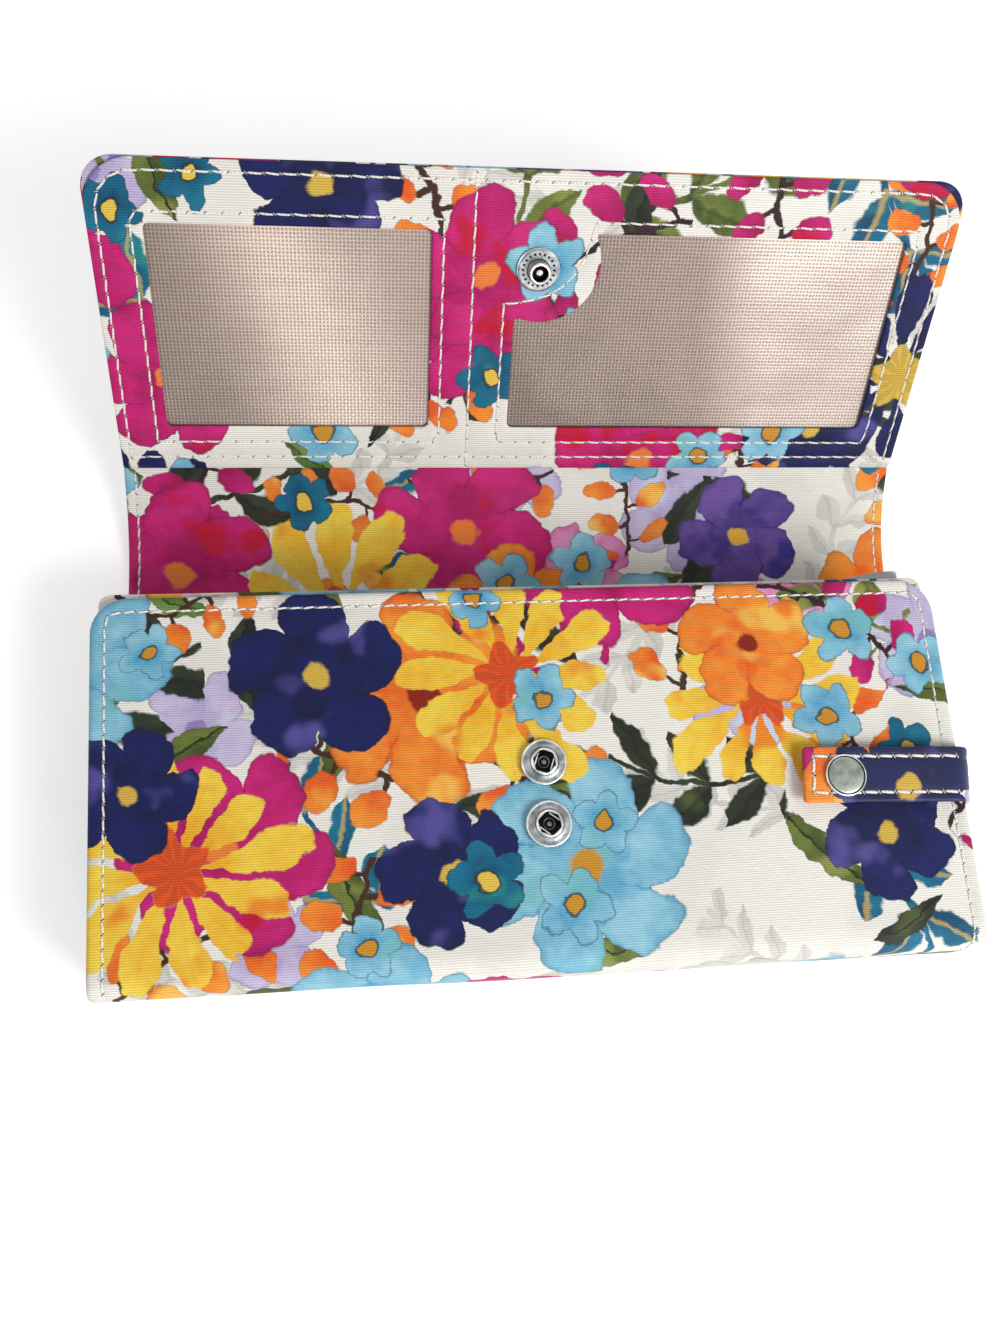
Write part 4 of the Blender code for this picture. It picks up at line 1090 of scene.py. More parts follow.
class Seams:
    """Stitches gathered into one mesh, with the needle marks between them, dark as painted shade, in
    another.
    """

    SIDES = 8
    STEPS = 7
    SLANT = 0.12 * MM
    MARK_HEIGHT = 0.01 * MM
    MARK_CROWN = 0.05 * MM
    MARK_DEPTH = 0.12 * MM

    def __init__(self):
        self.threads, self.uvs, self.marks = [], [], []

    def run(self, panel, side, legs, pitch, radius=THREAD_RADIUS):
        """Stitches along each leg, a line of flat points on one side of a panel."""
        knots = [resampled(leg, pitch) for leg in legs]
        start, end = np.vstack([k[:-1] for k in knots]), np.vstack([k[1:] for k in knots])
        along = unit(end - start)
        across = left_of(along)
        slant = self.SLANT * (1 + 0.5 * np.sin(np.arange(len(start)) * 2.4))[:, None]
        gap = along * radius * 0.8 + across * slant
        self.tubes(panel, side, start + gap, end - gap, radius)
        holes = np.vstack(knots)
        along = unit(np.vstack([np.gradient(k, axis=0) for k in knots]))
        across = left_of(along)
        reach = (along * 0.55 - across * 0.85) * radius * 2.1
        self.tubes(panel, side, holes - reach, holes + reach, radius * 0.3)
        self.nick(panel, side, holes, along, across, radius)

    def tubes(self, panel, side, start, end, radius):
        """Threads that rise out of the cloth at the start and dive back at the end."""
        t = np.linspace(0, 1, self.STEPS)[None, :, None]
        length = np.linalg.norm(end - start, axis=1)[:, None, None]
        centre = start[:, None] + (end - start)[:, None] * t
        on, away = (a.reshape(len(start), self.STEPS, 3) for a in panel.frame_at(centre, side))
        arch = np.sin(math.pi * t) ** 0.45
        path = on + away * radius * (1.5 * arch - 0.75)
        tangent = unit(np.gradient(path, axis=1), 2)
        sideways = unit(np.cross(tangent, away), 2)
        upward = np.cross(sideways, tangent)
        girth = radius * (0.6 + 0.4 * arch)[..., None]
        a = (np.arange(self.SIDES) * math.tau / self.SIDES)[None, None, :, None]
        ring = sideways[:, :, None] * np.cos(a) * 1.1 + upward[:, :, None] * np.sin(a) * 0.9
        self.threads.append(path[:, :, None] + ring * girth)
        run = np.broadcast_to((t * length)[..., None], (len(start), self.STEPS, self.SIDES, 1))
        self.uvs.append(np.concatenate([np.broadcast_to(a / math.tau, run.shape), run], axis=3))

    def nick(self, panel, side, holes, along, across, radius):
        """Dark slanting marks of painted shade where the needle went through: a low dome on a short wall.
        """
        count = self.SIDES
        lean = along * 0.6 + across * 0.8
        a = np.arange(count) * math.tau / count
        spots = holes[:, None] + lean[:, None] * (np.cos(a) * radius * 2.2)[None, :, None]
        spots = spots + left_of(lean)[:, None] * (np.sin(a) * radius * 0.95)[None, :, None]
        spots = np.concatenate([spots, holes[:, None]], axis=1)
        on, away = (v.reshape(len(holes), count + 1, 3) for v in panel.frame_at(spots, side))
        around, middle = slice(count), slice(count, None)
        rim = on[:, around] + away[:, around] * self.MARK_HEIGHT
        crown = on[:, middle] + away[:, middle] * self.MARK_CROWN
        foot = on[:, around] - away[:, around] * self.MARK_DEPTH
        self.marks.append(np.concatenate([rim, crown, foot], axis=1))

    def build(self, name):
        sides, steps = self.SIDES, self.STEPS
        around = [(j, (j + 1) % sides) for j in range(sides)]
        tube = [tuple(reversed(range(sides))), tuple(range(steps * sides - sides, steps * sides))]
        for k in range(0, (steps - 1) * sides, sides):
            tube += [(k + j, k + n, k + sides + n, k + sides + j) for j, n in around]
        crown, foot = sides, sides + 1
        mark = [tuple(foot + j for j in reversed(range(sides)))]
        for j, n in around:
            mark += [(j, n, crown), (n, j, foot + j, foot + n)]
        made = []
        uv = np.concatenate(self.uvs).reshape(-1, 2)
        for kind, shapes, shape, flat, material in (
            ("_stitches", self.threads, tube, uv, THREAD),
            ("_needle_marks", self.marks, mark, None, NEEDLE_HOLE_SHADE),
        ):
            shapes = np.concatenate(shapes)
            points = shapes.reshape(-1, 3)
            per = len(points) // len(shapes)
            faces = [tuple(i * per + c for c in face) for i in range(len(shapes)) for face in shape]
            made.append(mesh_object(name + kind, points, faces, flat, material))
            outward(made[-1].data)
        return made


def turned(name, profile, centre, axis, materials, steps, bend, finish):
    """A closed (radius, height) profile in millimetres turned about an axis through centre.

    bend(radius, height, angle) moves its points, where it is given. finish(radius, height, angle)
    gives the place of a face's material in the list, which may be a painted shade or a painted highlight.
    """
    lift = Vector((0, 0, 1)).rotation_difference(Vector(axis)).to_matrix()
    rows = len(profile)
    vertices, faces, kinds = [], [], []
    for j in range(steps):
        a, n = math.tau * j / steps, (j + 1) % steps
        for k in range(rows):
            r, z = bend(*profile[k], a) if bend else profile[k]
            vertices.append(lift @ Vector((r * math.cos(a), r * math.sin(a), z)) * MM + Vector(centre))
            m = (k + 1) % rows
            faces.append((j * rows + k, n * rows + k, n * rows + m, j * rows + m))
            r, z = ((profile[k][i] + profile[m][i]) / 2 for i in (0, 1))
            kinds.append(finish(r, z, math.tau * (j + 0.5) / steps))
    mesh = bpy.data.meshes.new(name)
    mesh.from_pydata([tuple(v) for v in vertices], [], faces)
    mesh.polygons.foreach_set("material_index", kinds)
    outward(mesh, weld=True)
    shade(mesh, 45)
    for material in materials:
        mesh.materials.append(material)
    return link(name, mesh)


PRINT = print_group()
OUTSIDE = canvas("outside_print", PRINT, (0, 0))
FRAME_CANVAS = canvas("window_frame_print", PRINT, (300, 140))
TAB_CANVAS = canvas("tab_print", PRINT, (-500, 250), gloss=0.4)
LINING = satin("pocket_lining_satin", srgb(192, 193, 196), srgb(136, 137, 141), 0.32, 0.3)
NET = net("window_net_threads", srgb(192, 172, 158), srgb(118, 100, 90))
BACKING = satin("window_backing_satin", srgb(214, 196, 186), srgb(170, 150, 140), 0.3, 0.25)
THREAD = thread_material()
SATIN_STEEL = steel("satin_steel", srgb(160, 164, 164), srgb(98, 103, 104), 0.28)
# Bright steel on the springs and zipper teeth, and painted highlight on the snaps' rims and lips
BRIGHT_STEEL_AND_HIGHLIGHT = steel("bright_steel_and_painted_highlight", srgb(226, 226, 224), srgb(176, 177, 176), 0.14)
DULL_STEEL = steel("dull_steel", srgb(112, 113, 112), srgb(70, 71, 71), 0.3)
CAP_STEEL = steel("cap_steel", srgb(158, 163, 154), srgb(126, 132, 123), 0.2)
# Painted shade: a dark steel put in the snaps' dimples, grooves and mouths
PAINTED_SHADE_STEEL = steel("painted_shade_steel", srgb(34, 34, 34), srgb(18, 18, 18), 0.45)
# Painted shade: a dark cloth for the marks at the needle holes
NEEDLE_HOLE_SHADE = plain_cloth("needle_hole_painted_shade", srgb(60, 54, 50), srgb(26, 24, 24), 0.8)
ZIPPER_TAPE = plain_cloth("zipper_tape_twill", srgb(96, 94, 98), srgb(60, 58, 62), 0.7)


def sew(name, *runs):
    """The stitches and needle marks, dark as painted shade, of some runs: panel, side, legs, pitch and
    maybe thread radius.
    """
    seams = Seams()
    for run in runs:
        seams.run(*run)
    return seams.build(name)


def declare(obj, body, slot, *nodes):
    """Attaches a piece to its body and hides the nodes that it stands for; its slot of the record is not
    used.
    """
    if nodes:
        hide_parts(*nodes)
    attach(obj, body)
    return obj


def blend_at(piece, fold):
    """Bakes a piece's place into its mesh; it looks up the fold's bodies and axis, but does not bend the
    piece.
    """
    first, second, axis, before, after = BLENDS[fold]
    axis + Vector(before) * MM
    axis + Vector(after) * MM
    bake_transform(piece)


def loop_area(loops):
    """Area inside the first loop and outside the others."""
    sizes = []
    for loop in loops:
        x, y = loop[:, 0], loop[:, 1]
        sizes.append(abs(x @ np.roll(y, -1) - y @ np.roll(x, -1)) / 2)
    return sizes[0] - sum(sizes[1:])


def as_sheet(panel):
    """Works out the flat size and area of a panel's loops, and does nothing with them."""
    size = panel.loops[0].max(0) - panel.loops[0].min(0)
    area = min(loop_area(panel.loops), float(size[0] * size[1]))


def stretch(start, end, radii, opens, seams, relief, rim=None):
    loop = rounded(-HALF_WIDTH, HALF_WIDTH, start, end, radii, OUTLINE_STEP)
    return Panel([loop], case.place, CASE_EDGE, seams, relief, opens, rim=rim)


def supple(x, s, distance, side):
    """Unevenness of the case, which stays above the table where it lies on it."""
    uneven = sway(x, s, 0.1 * MM) * np.clip(distance / (4 * MM), 0, 1)
    past_front, short_of_spine = s - case.at["back_start"], case.at["spine_fold"] - s
    resting = ease(past_front, -4 * MM, 1 * MM) * ease(short_of_spine, -4 * MM, 1 * MM)
    return uneven - TABLE_PRESS * resting * (1 - side)


def flap_rim(s):
    """Past the fold the flap's edge is drawn up to its inner face."""
    turn = ease(s - case.at["flap_fold"], -1 * MM, 6 * MM)
    return 0.5 + 0.42 * turn, CASE_EDGE + 2.0 * MM * turn


def tray(x, s, distance, side):
    """The flap's inner side is hollow, for the lining and the window frame."""
    flap = ease(s - case.at["flap_fold"], 3.5 * MM, 6 * MM) * side
    return -TRAY_DEPTH * flap * ease(distance, 3.5 * MM, 5 * MM) + supple(x, s, distance, side) * 0.5


def build_case():
    """The four stretches of the case, which meet where the fabric lies flat or turns evenly."""
    at = case.at
    top, bottom, back, spine = at["front_top"], at["bottom_middle"], at["back_middle"], at["spine_middle"]
    foot, high = bottom - COVER_STITCH_END, top + COVER_STITCH_IN + COVER_STITCH_CORNER
    inner, corner = HALF_WIDTH - COVER_STITCH_IN, COVER_STITCH_CORNER
    cover_leg = resampled(
        straight((-inner, foot), (-inner, high), OUTLINE_STEP)
        + arc((-inner + corner, high), corner, 180, 270, OUTLINE_STEP / 2)
        + arc((inner - corner, high), corner, 270, 360, OUTLINE_STEP / 2)
        + straight((inner, high), (inner, foot), OUTLINE_STEP)
    )

    def sides(start, end):
        edge = HALF_WIDTH - SPINE_STITCH_IN
        return [resampled([(x, start), (x, end)]) for x in (-edge, edge)]

    spine_sides = sides(spine, at["flap_fold"] - COVER_STITCH_END)
    round_top = (FRONT_TOP_CORNER, FRONT_TOP_CORNER, 0, 0)
    round_end = (0, 0, FLAP_CORNER, FLAP_CORNER)
    cover = stretch(top, bottom, round_top, (bottom,), [cover_leg], supple)
    under = stretch(bottom, back, SQUARE, (bottom, back), [], supple)
    rear = stretch(back, spine, SQUARE, (back, spine), sides(back + 2 * MM, spine), supple)
    flap = stretch(spine, at["flap_end"], round_end, (spine,), spine_sides, tray, flap_rim)
    for name, panel, fold, nodes in (
        ("front_cover", cover, "front", ("front_canvas", "front_stiffener", "bottom_canvas")),
        ("case_underside", under, "bottom", ("back_canvas", "back_stiffener", "bottom_lining")),
        ("case_back_and_spine", rear, "spine", ("spine_canvas",)),
        ("flap_outside", flap, "flap", ("flap_canvas", "flap_stiffener", "spine_lining")),
    ):
        piece = panel.build(name, OUTSIDE)
        blend_at(piece, fold)
        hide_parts(*nodes)
    for made in sew("front_cover", (cover, 0, [cover_leg], COVER_PITCH)):
        blend_at(made, "front")
    fold = at["spine_fold"]
    for made in sew("back", (rear, 1, sides(fold - BACK_STITCHES, fold), COVER_PITCH)):
        declare(made, "back", "printed_canvas")
    runs = (rear, 1, sides(fold, spine), COVER_PITCH), (flap, 1, spine_sides, COVER_PITCH)
    for made in sew("spine", *runs):
        declare(made, "spine", "printed_canvas")


def window_loops():
    """Outlines of the frame and its two windows; the tongue cuts the large one."""
    step = OUTLINE_STEP
    side = HALF_WIDTH - 0.2 * MM
    radii = (0.6 * MM, 0.6 * MM, FRAME_CORNER, FRAME_CORNER)
    outer = rounded(-side, side, FRAME_LOW, FLAP_LENGTH, radii, step)
    small = rounded(-WINDOW_EDGE, WINDOW_POST_X[0], WINDOW_LOW, WINDOW_HIGH, (WINDOW_CORNER,) * 4, step)
    edge, left, r = WINDOW_EDGE, WINDOW_POST_X[1], WINDOW_CORNER
    meet_v = TONGUE.y - math.sqrt(TONGUE_RADIUS**2 - (TONGUE.x - left) ** 2)
    meet_x = TONGUE.x + math.sqrt(TONGUE_RADIUS**2 - (WINDOW_HIGH - TONGUE.y) ** 2)
    start = math.degrees(math.atan2(meet_v - TONGUE.y, left - TONGUE.x)) + 6
    end = math.degrees(math.atan2(WINDOW_HIGH - TONGUE.y, meet_x - TONGUE.x)) - 4
    curve = arc(TONGUE, TONGUE_RADIUS, start, end, step / 2)
    large = (
        arc((left + r, WINDOW_LOW + r), r, 180, 270, step / 2)
        + straight((left + r, WINDOW_LOW), (edge - r, WINDOW_LOW), step)[1:]
        + arc((edge - r, WINDOW_LOW + r), r, 270, 360, step / 2)
        + straight((edge, WINDOW_LOW + r), (edge, WINDOW_HIGH - r), step)[1:]
        + arc((edge - r, WINDOW_HIGH - r), r, 0, 90, step / 2)
        + straight((edge - r, WINDOW_HIGH), (meet_x + 1.2 * MM, WINDOW_HIGH), step)[1:]
        + [(meet_x + 0.5 * MM, WINDOW_HIGH - 0.05 * MM)]
        + curve[::-1]
        + [(left + 0.05 * MM, meet_v - 0.7 * MM)]
        + straight((left, meet_v - 1.4 * MM), (left, WINDOW_LOW + r), step)
    )
    return outer, small[::-1], np.array(large)[::-1]


def frame_legs():
    """Lines of stitches on the window frame: round it, across it, round each window and by the tongue."""
    side, top, r = HALF_WIDTH - FRAME_HEM, FLAP_LENGTH - FRAME_HEM, FRAME_CORNER - FRAME_HEM
    edge, row, window_top = WINDOW_EDGE + WINDOW_SEAM_ASIDE, WINDOW_ROW, WINDOW_HIGH + WINDOW_SEAM_UP
    post, left = WINDOW_POST_X[0] + WINDOW_SEAM_ASIDE, WINDOW_POST_X[1] - WINDOW_SEAM_ASIDE
    perimeter = (
        [(-side, FRAME_PERIMETER_LOW)]
        + arc((-side + r, top - r), r, 180, 90, 1 * MM)
        + arc((side - r, top - r), r, 90, 0, 1 * MM)
        + [(side, FRAME_PERIMETER_LOW)]
    )
    tongue = [(left, TONGUE_FOOT), *[(x * MM, v * MM) for x, v in TONGUE_SEAM], (TONGUE_END, window_top)]
    legs = [
        perimeter,
        [(-side, FOLD_ROW), (side, FOLD_ROW)],
        [(-edge, row), (post, row), (post, window_top)],
        [(-edge, row), (-edge, window_top), (post, window_top)],
        POST_SEAM,
        [(left, TONGUE_FOOT), (left, row), (edge, row), (edge, window_top), (TONGUE_END, window_top)],
        tongue,
    ]
    return [resampled(leg) for leg in legs]


def alike(x_share, v_share, amount, start, end):
    """Unevenness that both faces share, growing between two distances from the edge."""

    def relief(x, v, distance, side):
        return sway(x * x_share, v * v_share, amount) * (1 if side else -1) * ease(distance, start, end)

    return relief


def build_flap():
    """The window frame on the flap's inner side, a net in each window and the satin behind them."""

    def raised(x, v, distance, side):
        return sway(x, v, 0.05 * MM) * side + 0.06 * MM * side * ease(distance, 0, 1.2 * MM)

    legs, place = frame_legs(), flap_place(0.2 * MM, FLAP_FACE)
    window_frame = Panel(window_loops(), place, 0.45 * MM, legs, raised, dip=0.28 * MM)
    piece = window_frame.build("flap_window_frame_canvas", FRAME_CANVAS, 2.2 * MM)
    declare(piece, "flap", "printed_canvas", "flap_window_frame")
    made = [declare(m, "flap", "printed_canvas") for m in sew("flap", (window_frame, 1, legs, FLAP_PITCH))]
    as_sheet(window_frame)

    grow = NET_MARGIN
    low, high = WINDOW_LOW - grow, WINDOW_HIGH + grow
    for name, low_x, high_x in (
        ("small_window_mesh", -WINDOW_EDGE, WINDOW_POST_X[0]),
        ("large_window_mesh", WINDOW_POST_X[1], WINDOW_EDGE),
    ):
        loop = rounded(low_x - grow, high_x + grow, low, high, (0.5 * MM,) * 4, 2 * MM)
        relief = alike(0.8, 1, 0.16 * MM, 2 * MM, 9 * MM)
        panel = Panel([loop], flap_place(-0.45 * MM, -0.1 * MM), 0.2 * MM, relief=relief)
        piece = panel.build(name + "_net", NET, 3 * MM)
        declare(piece, "flap", "window_mesh", name)
        as_sheet(panel)

    edge = HALF_WIDTH - BACKING_IN
    loop = rounded(-edge, edge, 8 * MM, FLAP_LENGTH - BACKING_IN, (1 * MM,) * 4, 3 * MM)
    relief = alike(1.7, 1.3, 0.12 * MM, 0, 6 * MM)
    backing = Panel([loop], flap_place(-1.55 * MM, -1.05 * MM), 0.25 * MM, relief=relief)
    piece = backing.build("flap_pocket_satin", BACKING, 4 * MM)
    declare(piece, "flap", "pocket_lining", "flap_pocket_lining")
    as_sheet(backing)


# Snaps: closed profiles of (radius, height) in millimetres
STUD_PROFILE = (
    [(0, 0), (4.45, 0), (4.72, 0.12), (4.78, 0.32), (4.6, 0.52), (4.3, 0.6)]
    + [(4.1 - 0.1 * i, 0.6) for i in range(14)]
    + [(2.6, 0.62), (2.42, 0.8), (2.3, 1.3), (2.3, 2.2), (2.42, 2.7), (2.4, 3.05), (2.2, 3.32), (2.0, 3.38)]
    + [(1.8, 3.28), (1.7, 2.9), (1.66, 1.6), (1.5, 1.1), (1.2, 1.0), (0.98, 1.15), (0.95, 1.9)]
    + [(0.85, 2.3), (0.6, 2.55), (0.3, 2.64), (0, 2.66)]
)
SOCKET_PROFILE = (
    [(2.45, 0), (4.6, 0), (4.9, 0.12), (5.0, 0.34), (4.98, 0.56), (4.86, 0.72), (4.7, 0.75), (4.56, 0.68)]
    + [(4.3, 0.66), (3.8, 0.72), (3.4, 0.86), (3.15, 1.02), (3.02, 1.25), (2.92, 1.48), (2.8, 1.57)]
    + [(2.66, 1.55), (2.54, 1.4), (2.5, 1.1), (2.45, 0.7)]
)
POST_PROFILE = (
    [(0, -1.65), (3.8, -1.65), (4.0, -1.5), (3.9, -1.3), (1.4, -1.2), (1.2, -1.0), (1.2, 0.05), (2.2, 0.06)]
    + [(2.2, 0.14), (1.45, 0.16), (1.36, 0.4), (1.26, 0.47), (1.12, 0.4), (1.0, 0.2), (0.72, 0.18)]
    + [(0.66, 0.4), (0.5, 0.52), (0, 0.55)]
)
CAP_PROFILE = (
    [(0, 0), (4.35, 0), (4.62, 0.1), (4.7, 0.35), (4.67, 0.66), (4.58, 0.84), (4.44, 0.9), (4.3, 0.86)]
    + [(4.22, 0.7), (4.12, 0.68), (4.0, 0.8), (3.6, 0.88), (3.0, 0.96), (2.0, 1.07), (1.0, 1.14), (0, 1.16)]
)
DIMPLES = 20
DIMPLE_RADIUS = 3.45


def dimpled(r, z, a):
    """Small dimples in the stud's flange."""
    ring = math.exp(-(((r - DIMPLE_RADIUS) / 0.2) ** 2)) * max(0.0, math.cos(DIMPLES * a)) ** 1.5
    return r, z - 0.26 * ring * (2.7 < r < 4.15)


def six_sided(r, z, a):
    """The socket's mouth is a hexagon with rounded corners."""
    if r > 3.0:
        return r, z
    flat = math.cos(math.pi / 6) / math.cos((a + 0.3) % (math.pi / 3) - math.pi / 6)
    return r * (1 - (1 - flat) * 0.85 * ease(r, 3.0, 2.6)), z


def stud_steel_and_painted_light(r, z, a):
    """Painted shade in the dimples, round the foot of the post and in its hollow; painted highlight on the
    rim and the post.
    """
    dimple = abs(r - DIMPLE_RADIUS) < 0.28 and math.cos(DIMPLES * a) > 0.35 and z > 0.3
    if dimple or 2.3 < r < 2.62 and z < 0.85 or 1.0 < r < 1.75 and 1.0 < z < 2.9:
        return 1
    return 2 if r > 4.5 or r < 2.6 else 0


def socket_steel_and_painted_light(r, z, a):
    """Satin on the ring, painted highlight on the rim and the lip, painted shade down the mouth."""
    if r < 2.62 and z < 1.45:
        return 2
    return 1 if r > 4.62 or r < 2.95 else 0


def post_steel_and_painted_shade(r, z, a):
    """Painted shade round the eye and in its groove."""
    return 1 if r > 1.42 or 0.55 < r < 0.98 and z > 0.1 else 0


def cap_steel_and_painted_light(r, z, a):
    """Painted shade in the groove and painted highlight on the rim."""
    if 4.0 < r < 4.28:
        return 2
    return 1 if r > 4.2 else 0


def wire(name, points, radius, material):
    """A thin round wire through points."""
    curve = bpy.data.curves.new(name, "CURVE")
    curve.dimensions = "3D"
    curve.bevel_depth = radius
    curve.bevel_resolution = 3
    curve.use_fill_caps = True
    spline = curve.splines.new("POLY")
    spline.points.add(len(points) - 1)
    for point, place in zip(spline.points, points):
        point.co = (*place, 1)
    curve.materials.append(material)
    return link(name, curve)


def build_snaps():
    """Stud on the flap, two sockets on the cover with their springs, and the tab's cap."""
    up = Vector((0, -math.sin(FLAP_ANGLE), math.cos(FLAP_ANGLE)))
    along = Vector((0, math.cos(FLAP_ANGLE), math.sin(FLAP_ANGLE)))
    seat = FLAP_FOLD + along * STUD_V + up * STUD_LIFT
    metals = [SATIN_STEEL, PAINTED_SHADE_STEEL, BRIGHT_STEEL_AND_HIGHLIGHT]
    piece = turned("flap_stud_disc", STUD_PROFILE, seat, up, metals, 240, dimpled, stud_steel_and_painted_light)
    declare(piece, "flap", "snap_steel", "flap_snap_stud")

    for which, lean in SPRING_LEANS:
        node = f"front_{which}_socket"
        low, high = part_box(node)
        base = laid(((low.x + high.x) / 2, (low.y + high.y) / 2, low.z))
        metals = [SATIN_STEEL, BRIGHT_STEEL_AND_HIGHLIGHT, PAINTED_SHADE_STEEL]
        name = f"{which}_socket_body"
        piece = turned(name, SOCKET_PROFILE, base, UP, metals, 96, six_sided, socket_steel_and_painted_light)
        declare(piece, "front", "snap_steel", node)
        turn = math.radians(lean)
        run, off = Vector((-math.sin(turn), math.cos(turn), 0)), Vector((math.cos(turn), math.sin(turn), 0))
        for k, aside in enumerate((-SPRING_ASIDE, SPRING_ASIDE)):
            middle = base + Vector((0, 0, SPRING_HEIGHT)) + off * aside
            points = [middle + run * t for t in (-SPRING_HALF, 0, SPRING_HALF)]
            spring = wire(f"{which}_spring_wire_{k + 1}", points, SPRING_RADIUS, BRIGHT_STEEL_AND_HIGHLIGHT)
            declare(spring, "front", "snap_steel", f"{which}_socket_spring")
        metals = [DULL_STEEL, PAINTED_SHADE_STEEL]
        piece = turned(f"{which}_socket_post", POST_PROFILE, base, UP, metals, 48, None, post_steel_and_painted_shade)
        declare(piece, "front", "snap_steel", f"{which}_socket_rivet")

    low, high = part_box("tab_snap_cap")
    base = Vector(((low.x + high.x) / 2, (low.y + high.y) / 2, high.z - CAP_HEIGHT)) + CAP_SHIFT
    metals = [CAP_STEEL, BRIGHT_STEEL_AND_HIGHLIGHT, PAINTED_SHADE_STEEL]
    piece = turned("tab_cap", CAP_PROFILE, base, UP, metals, 96, None, cap_steel_and_painted_light)
    declare(piece, "tab", "snap_steel", "tab_snap_cap")


class Strap(Ribbon):
    """The side tab's strap in the xz plane: along the cover, over its edge and down the side."""

    STEP = 0.4 * MM

    def __init__(self):
        strap_low, strap_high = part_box("tab_strap")
        leg_low, leg_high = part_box("tab_side_leg")
        self.fold_x = leg_low.x
        self.reach = self.fold_x - strap_low.x
        self.width = strap_high.y - strap_low.y
        self.middle_y = (strap_low.y + strap_high.y) / 2
        low, up = [], []
        for i in range(round(self.reach / self.STEP) - 2):
            x = strap_low.x + self.STEP * i
            low.append((x, strap_low.z))
            up.append((x, strap_high.z))
        for i in range(2, round((strap_low.z - leg_low.z) / self.STEP) + 1):
            z = strap_low.z - self.STEP * i
            low.append((self.fold_x, z))
            up.append((leg_high.x, z))
        self.settle(low, up, 3)
        self.length = float(self.s[-1])

    def place(self, s, y, share, lift):
        point = self.section(s, share, lift)
        weight = np.clip(point[:, 1] / FRONT_HIGH.z, 0, 1)
        askew = (TAB_SHIFT + (self.fold_x - point[:, 0]) * TAB_TURN) * weight
        aside = (TAB_ASIDE + (y - self.width / 2) * TAB_LEAN) * weight
        return np.stack([point[:, 0] + aside, self.middle_y + y + askew, point[:, 1]], axis=1)


def build_tab():
    """The tab's strap; it dips along its whole seam, and the stitches stop short of the bend."""
    strap = Strap()
    half = strap.width / 2 + TAB_SPARE
    loop = rounded(0, strap.length, -half, half, TAB_CORNERS, 0.8 * MM)
    inner, near = half - TAB_STITCH_IN, TAB_STITCH_END
    down, flat_end = strap.reach + TAB_DOWN, strap.reach - TAB_BEND
    leg = resampled([(down, -inner), (near, -inner), (near, inner), (down, inner)])
    ends = [(flat_end, -inner), (near, -inner), (near, inner), (flat_end, inner)]

    def relief(x, v, distance, side):
        return sway(x * 2, v * 2, 0.05 * MM) * side * ease(distance, 0, 2 * MM)

    panel = Panel([loop], strap.place, 0.6 * MM, [leg], relief, dip=0.2 * MM)
    piece = panel.build("tab_strap_canvas", TAB_CANVAS, 1.4 * MM)
    blend_at(piece, "tab")
    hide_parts("tab_strap", "tab_side_leg")
    run = (panel, 1, [resampled(pair) for pair in zip(ends, ends[1:])], TAB_PITCH, TAB_THREAD)
    made = [declare(m, "tab", "printed_canvas") for m in sew("tab", run)]
    as_sheet(panel)


def block_place(middle, thick, lying=False):
    """Places a sheet in the block of pockets; middle gives its height at (x, v), v from the bottom fold."""

    def place(x, v, share, lift):
        z = middle(x, v) + (share - 0.5) * thick + lift
        points = np.stack([MIDDLE_X + x, BOTTOM_FOLD.y + v, z], axis=1)
        return lie(points) if lying else points

    return place


def level(z):
    return lambda x, v: z + 0 * x


def node_span(node):
    """A node's half width, its v from and to, and its lowest and highest z."""
    low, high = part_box(node)
    return (high.x - low.x) / 2, low.y - BOTTOM_FOLD.y, high.y - BOTTOM_FOLD.y, low.z, high.z


def pocket_sheet(name, node, body, material, middle, thick, corner, hem, below, grow=(0, 0), stops=()):
    """A sewn pocket wall with a stitched hem at its mouth and, at stops, seams from mouth to base."""
    half, v_low, v_high, *_ = node_span(node)
    half, v_high = half + grow[0], v_high + grow[1]
    loop = rounded(-half, half, v_low, v_high, (1 * MM, 1 * MM, corner, corner), 1.6 * MM)
    inner, mouth = half - hem, v_high - hem
    legs = [[(-inner, mouth), (inner, mouth)]]
    legs += [[(x, v_low + 1 * MM), (x, mouth)] for x in (-inner, inner, *stops)]
    legs = [resampled(leg) for leg in legs]
    place = block_place(middle, thick, lying=body == "front")
    panel = Panel([loop], place, thick * 0.5, legs, dip=0.08 * MM)
    piece = panel.build(name, material, 3.4 * MM)
    slot = "printed_canvas" if material is OUTSIDE else "pocket_lining"
    declare(piece, body, slot, node)
    side = 0 if body == "front" else 1
    made = [declare(m, body, slot) for m in sew(name, (panel, side, legs, COVER_PITCH, POCKET_THREAD))]
    as_sheet(panel)


def card_slots(name, node, body, count, below):
    """Stepped card slots, each on the piece below it and sewn through the middle."""
    for number in range(1, count + 1):
        piece, solid = f"{name}_{number}", f"{node}_{number}"
        height = level(node_span(solid)[3] + SLOT_RISE)
        pocket_sheet(piece, solid, body, LINING, height, *SLOT_SIZES, below, stops=(0.0,))
        below = piece


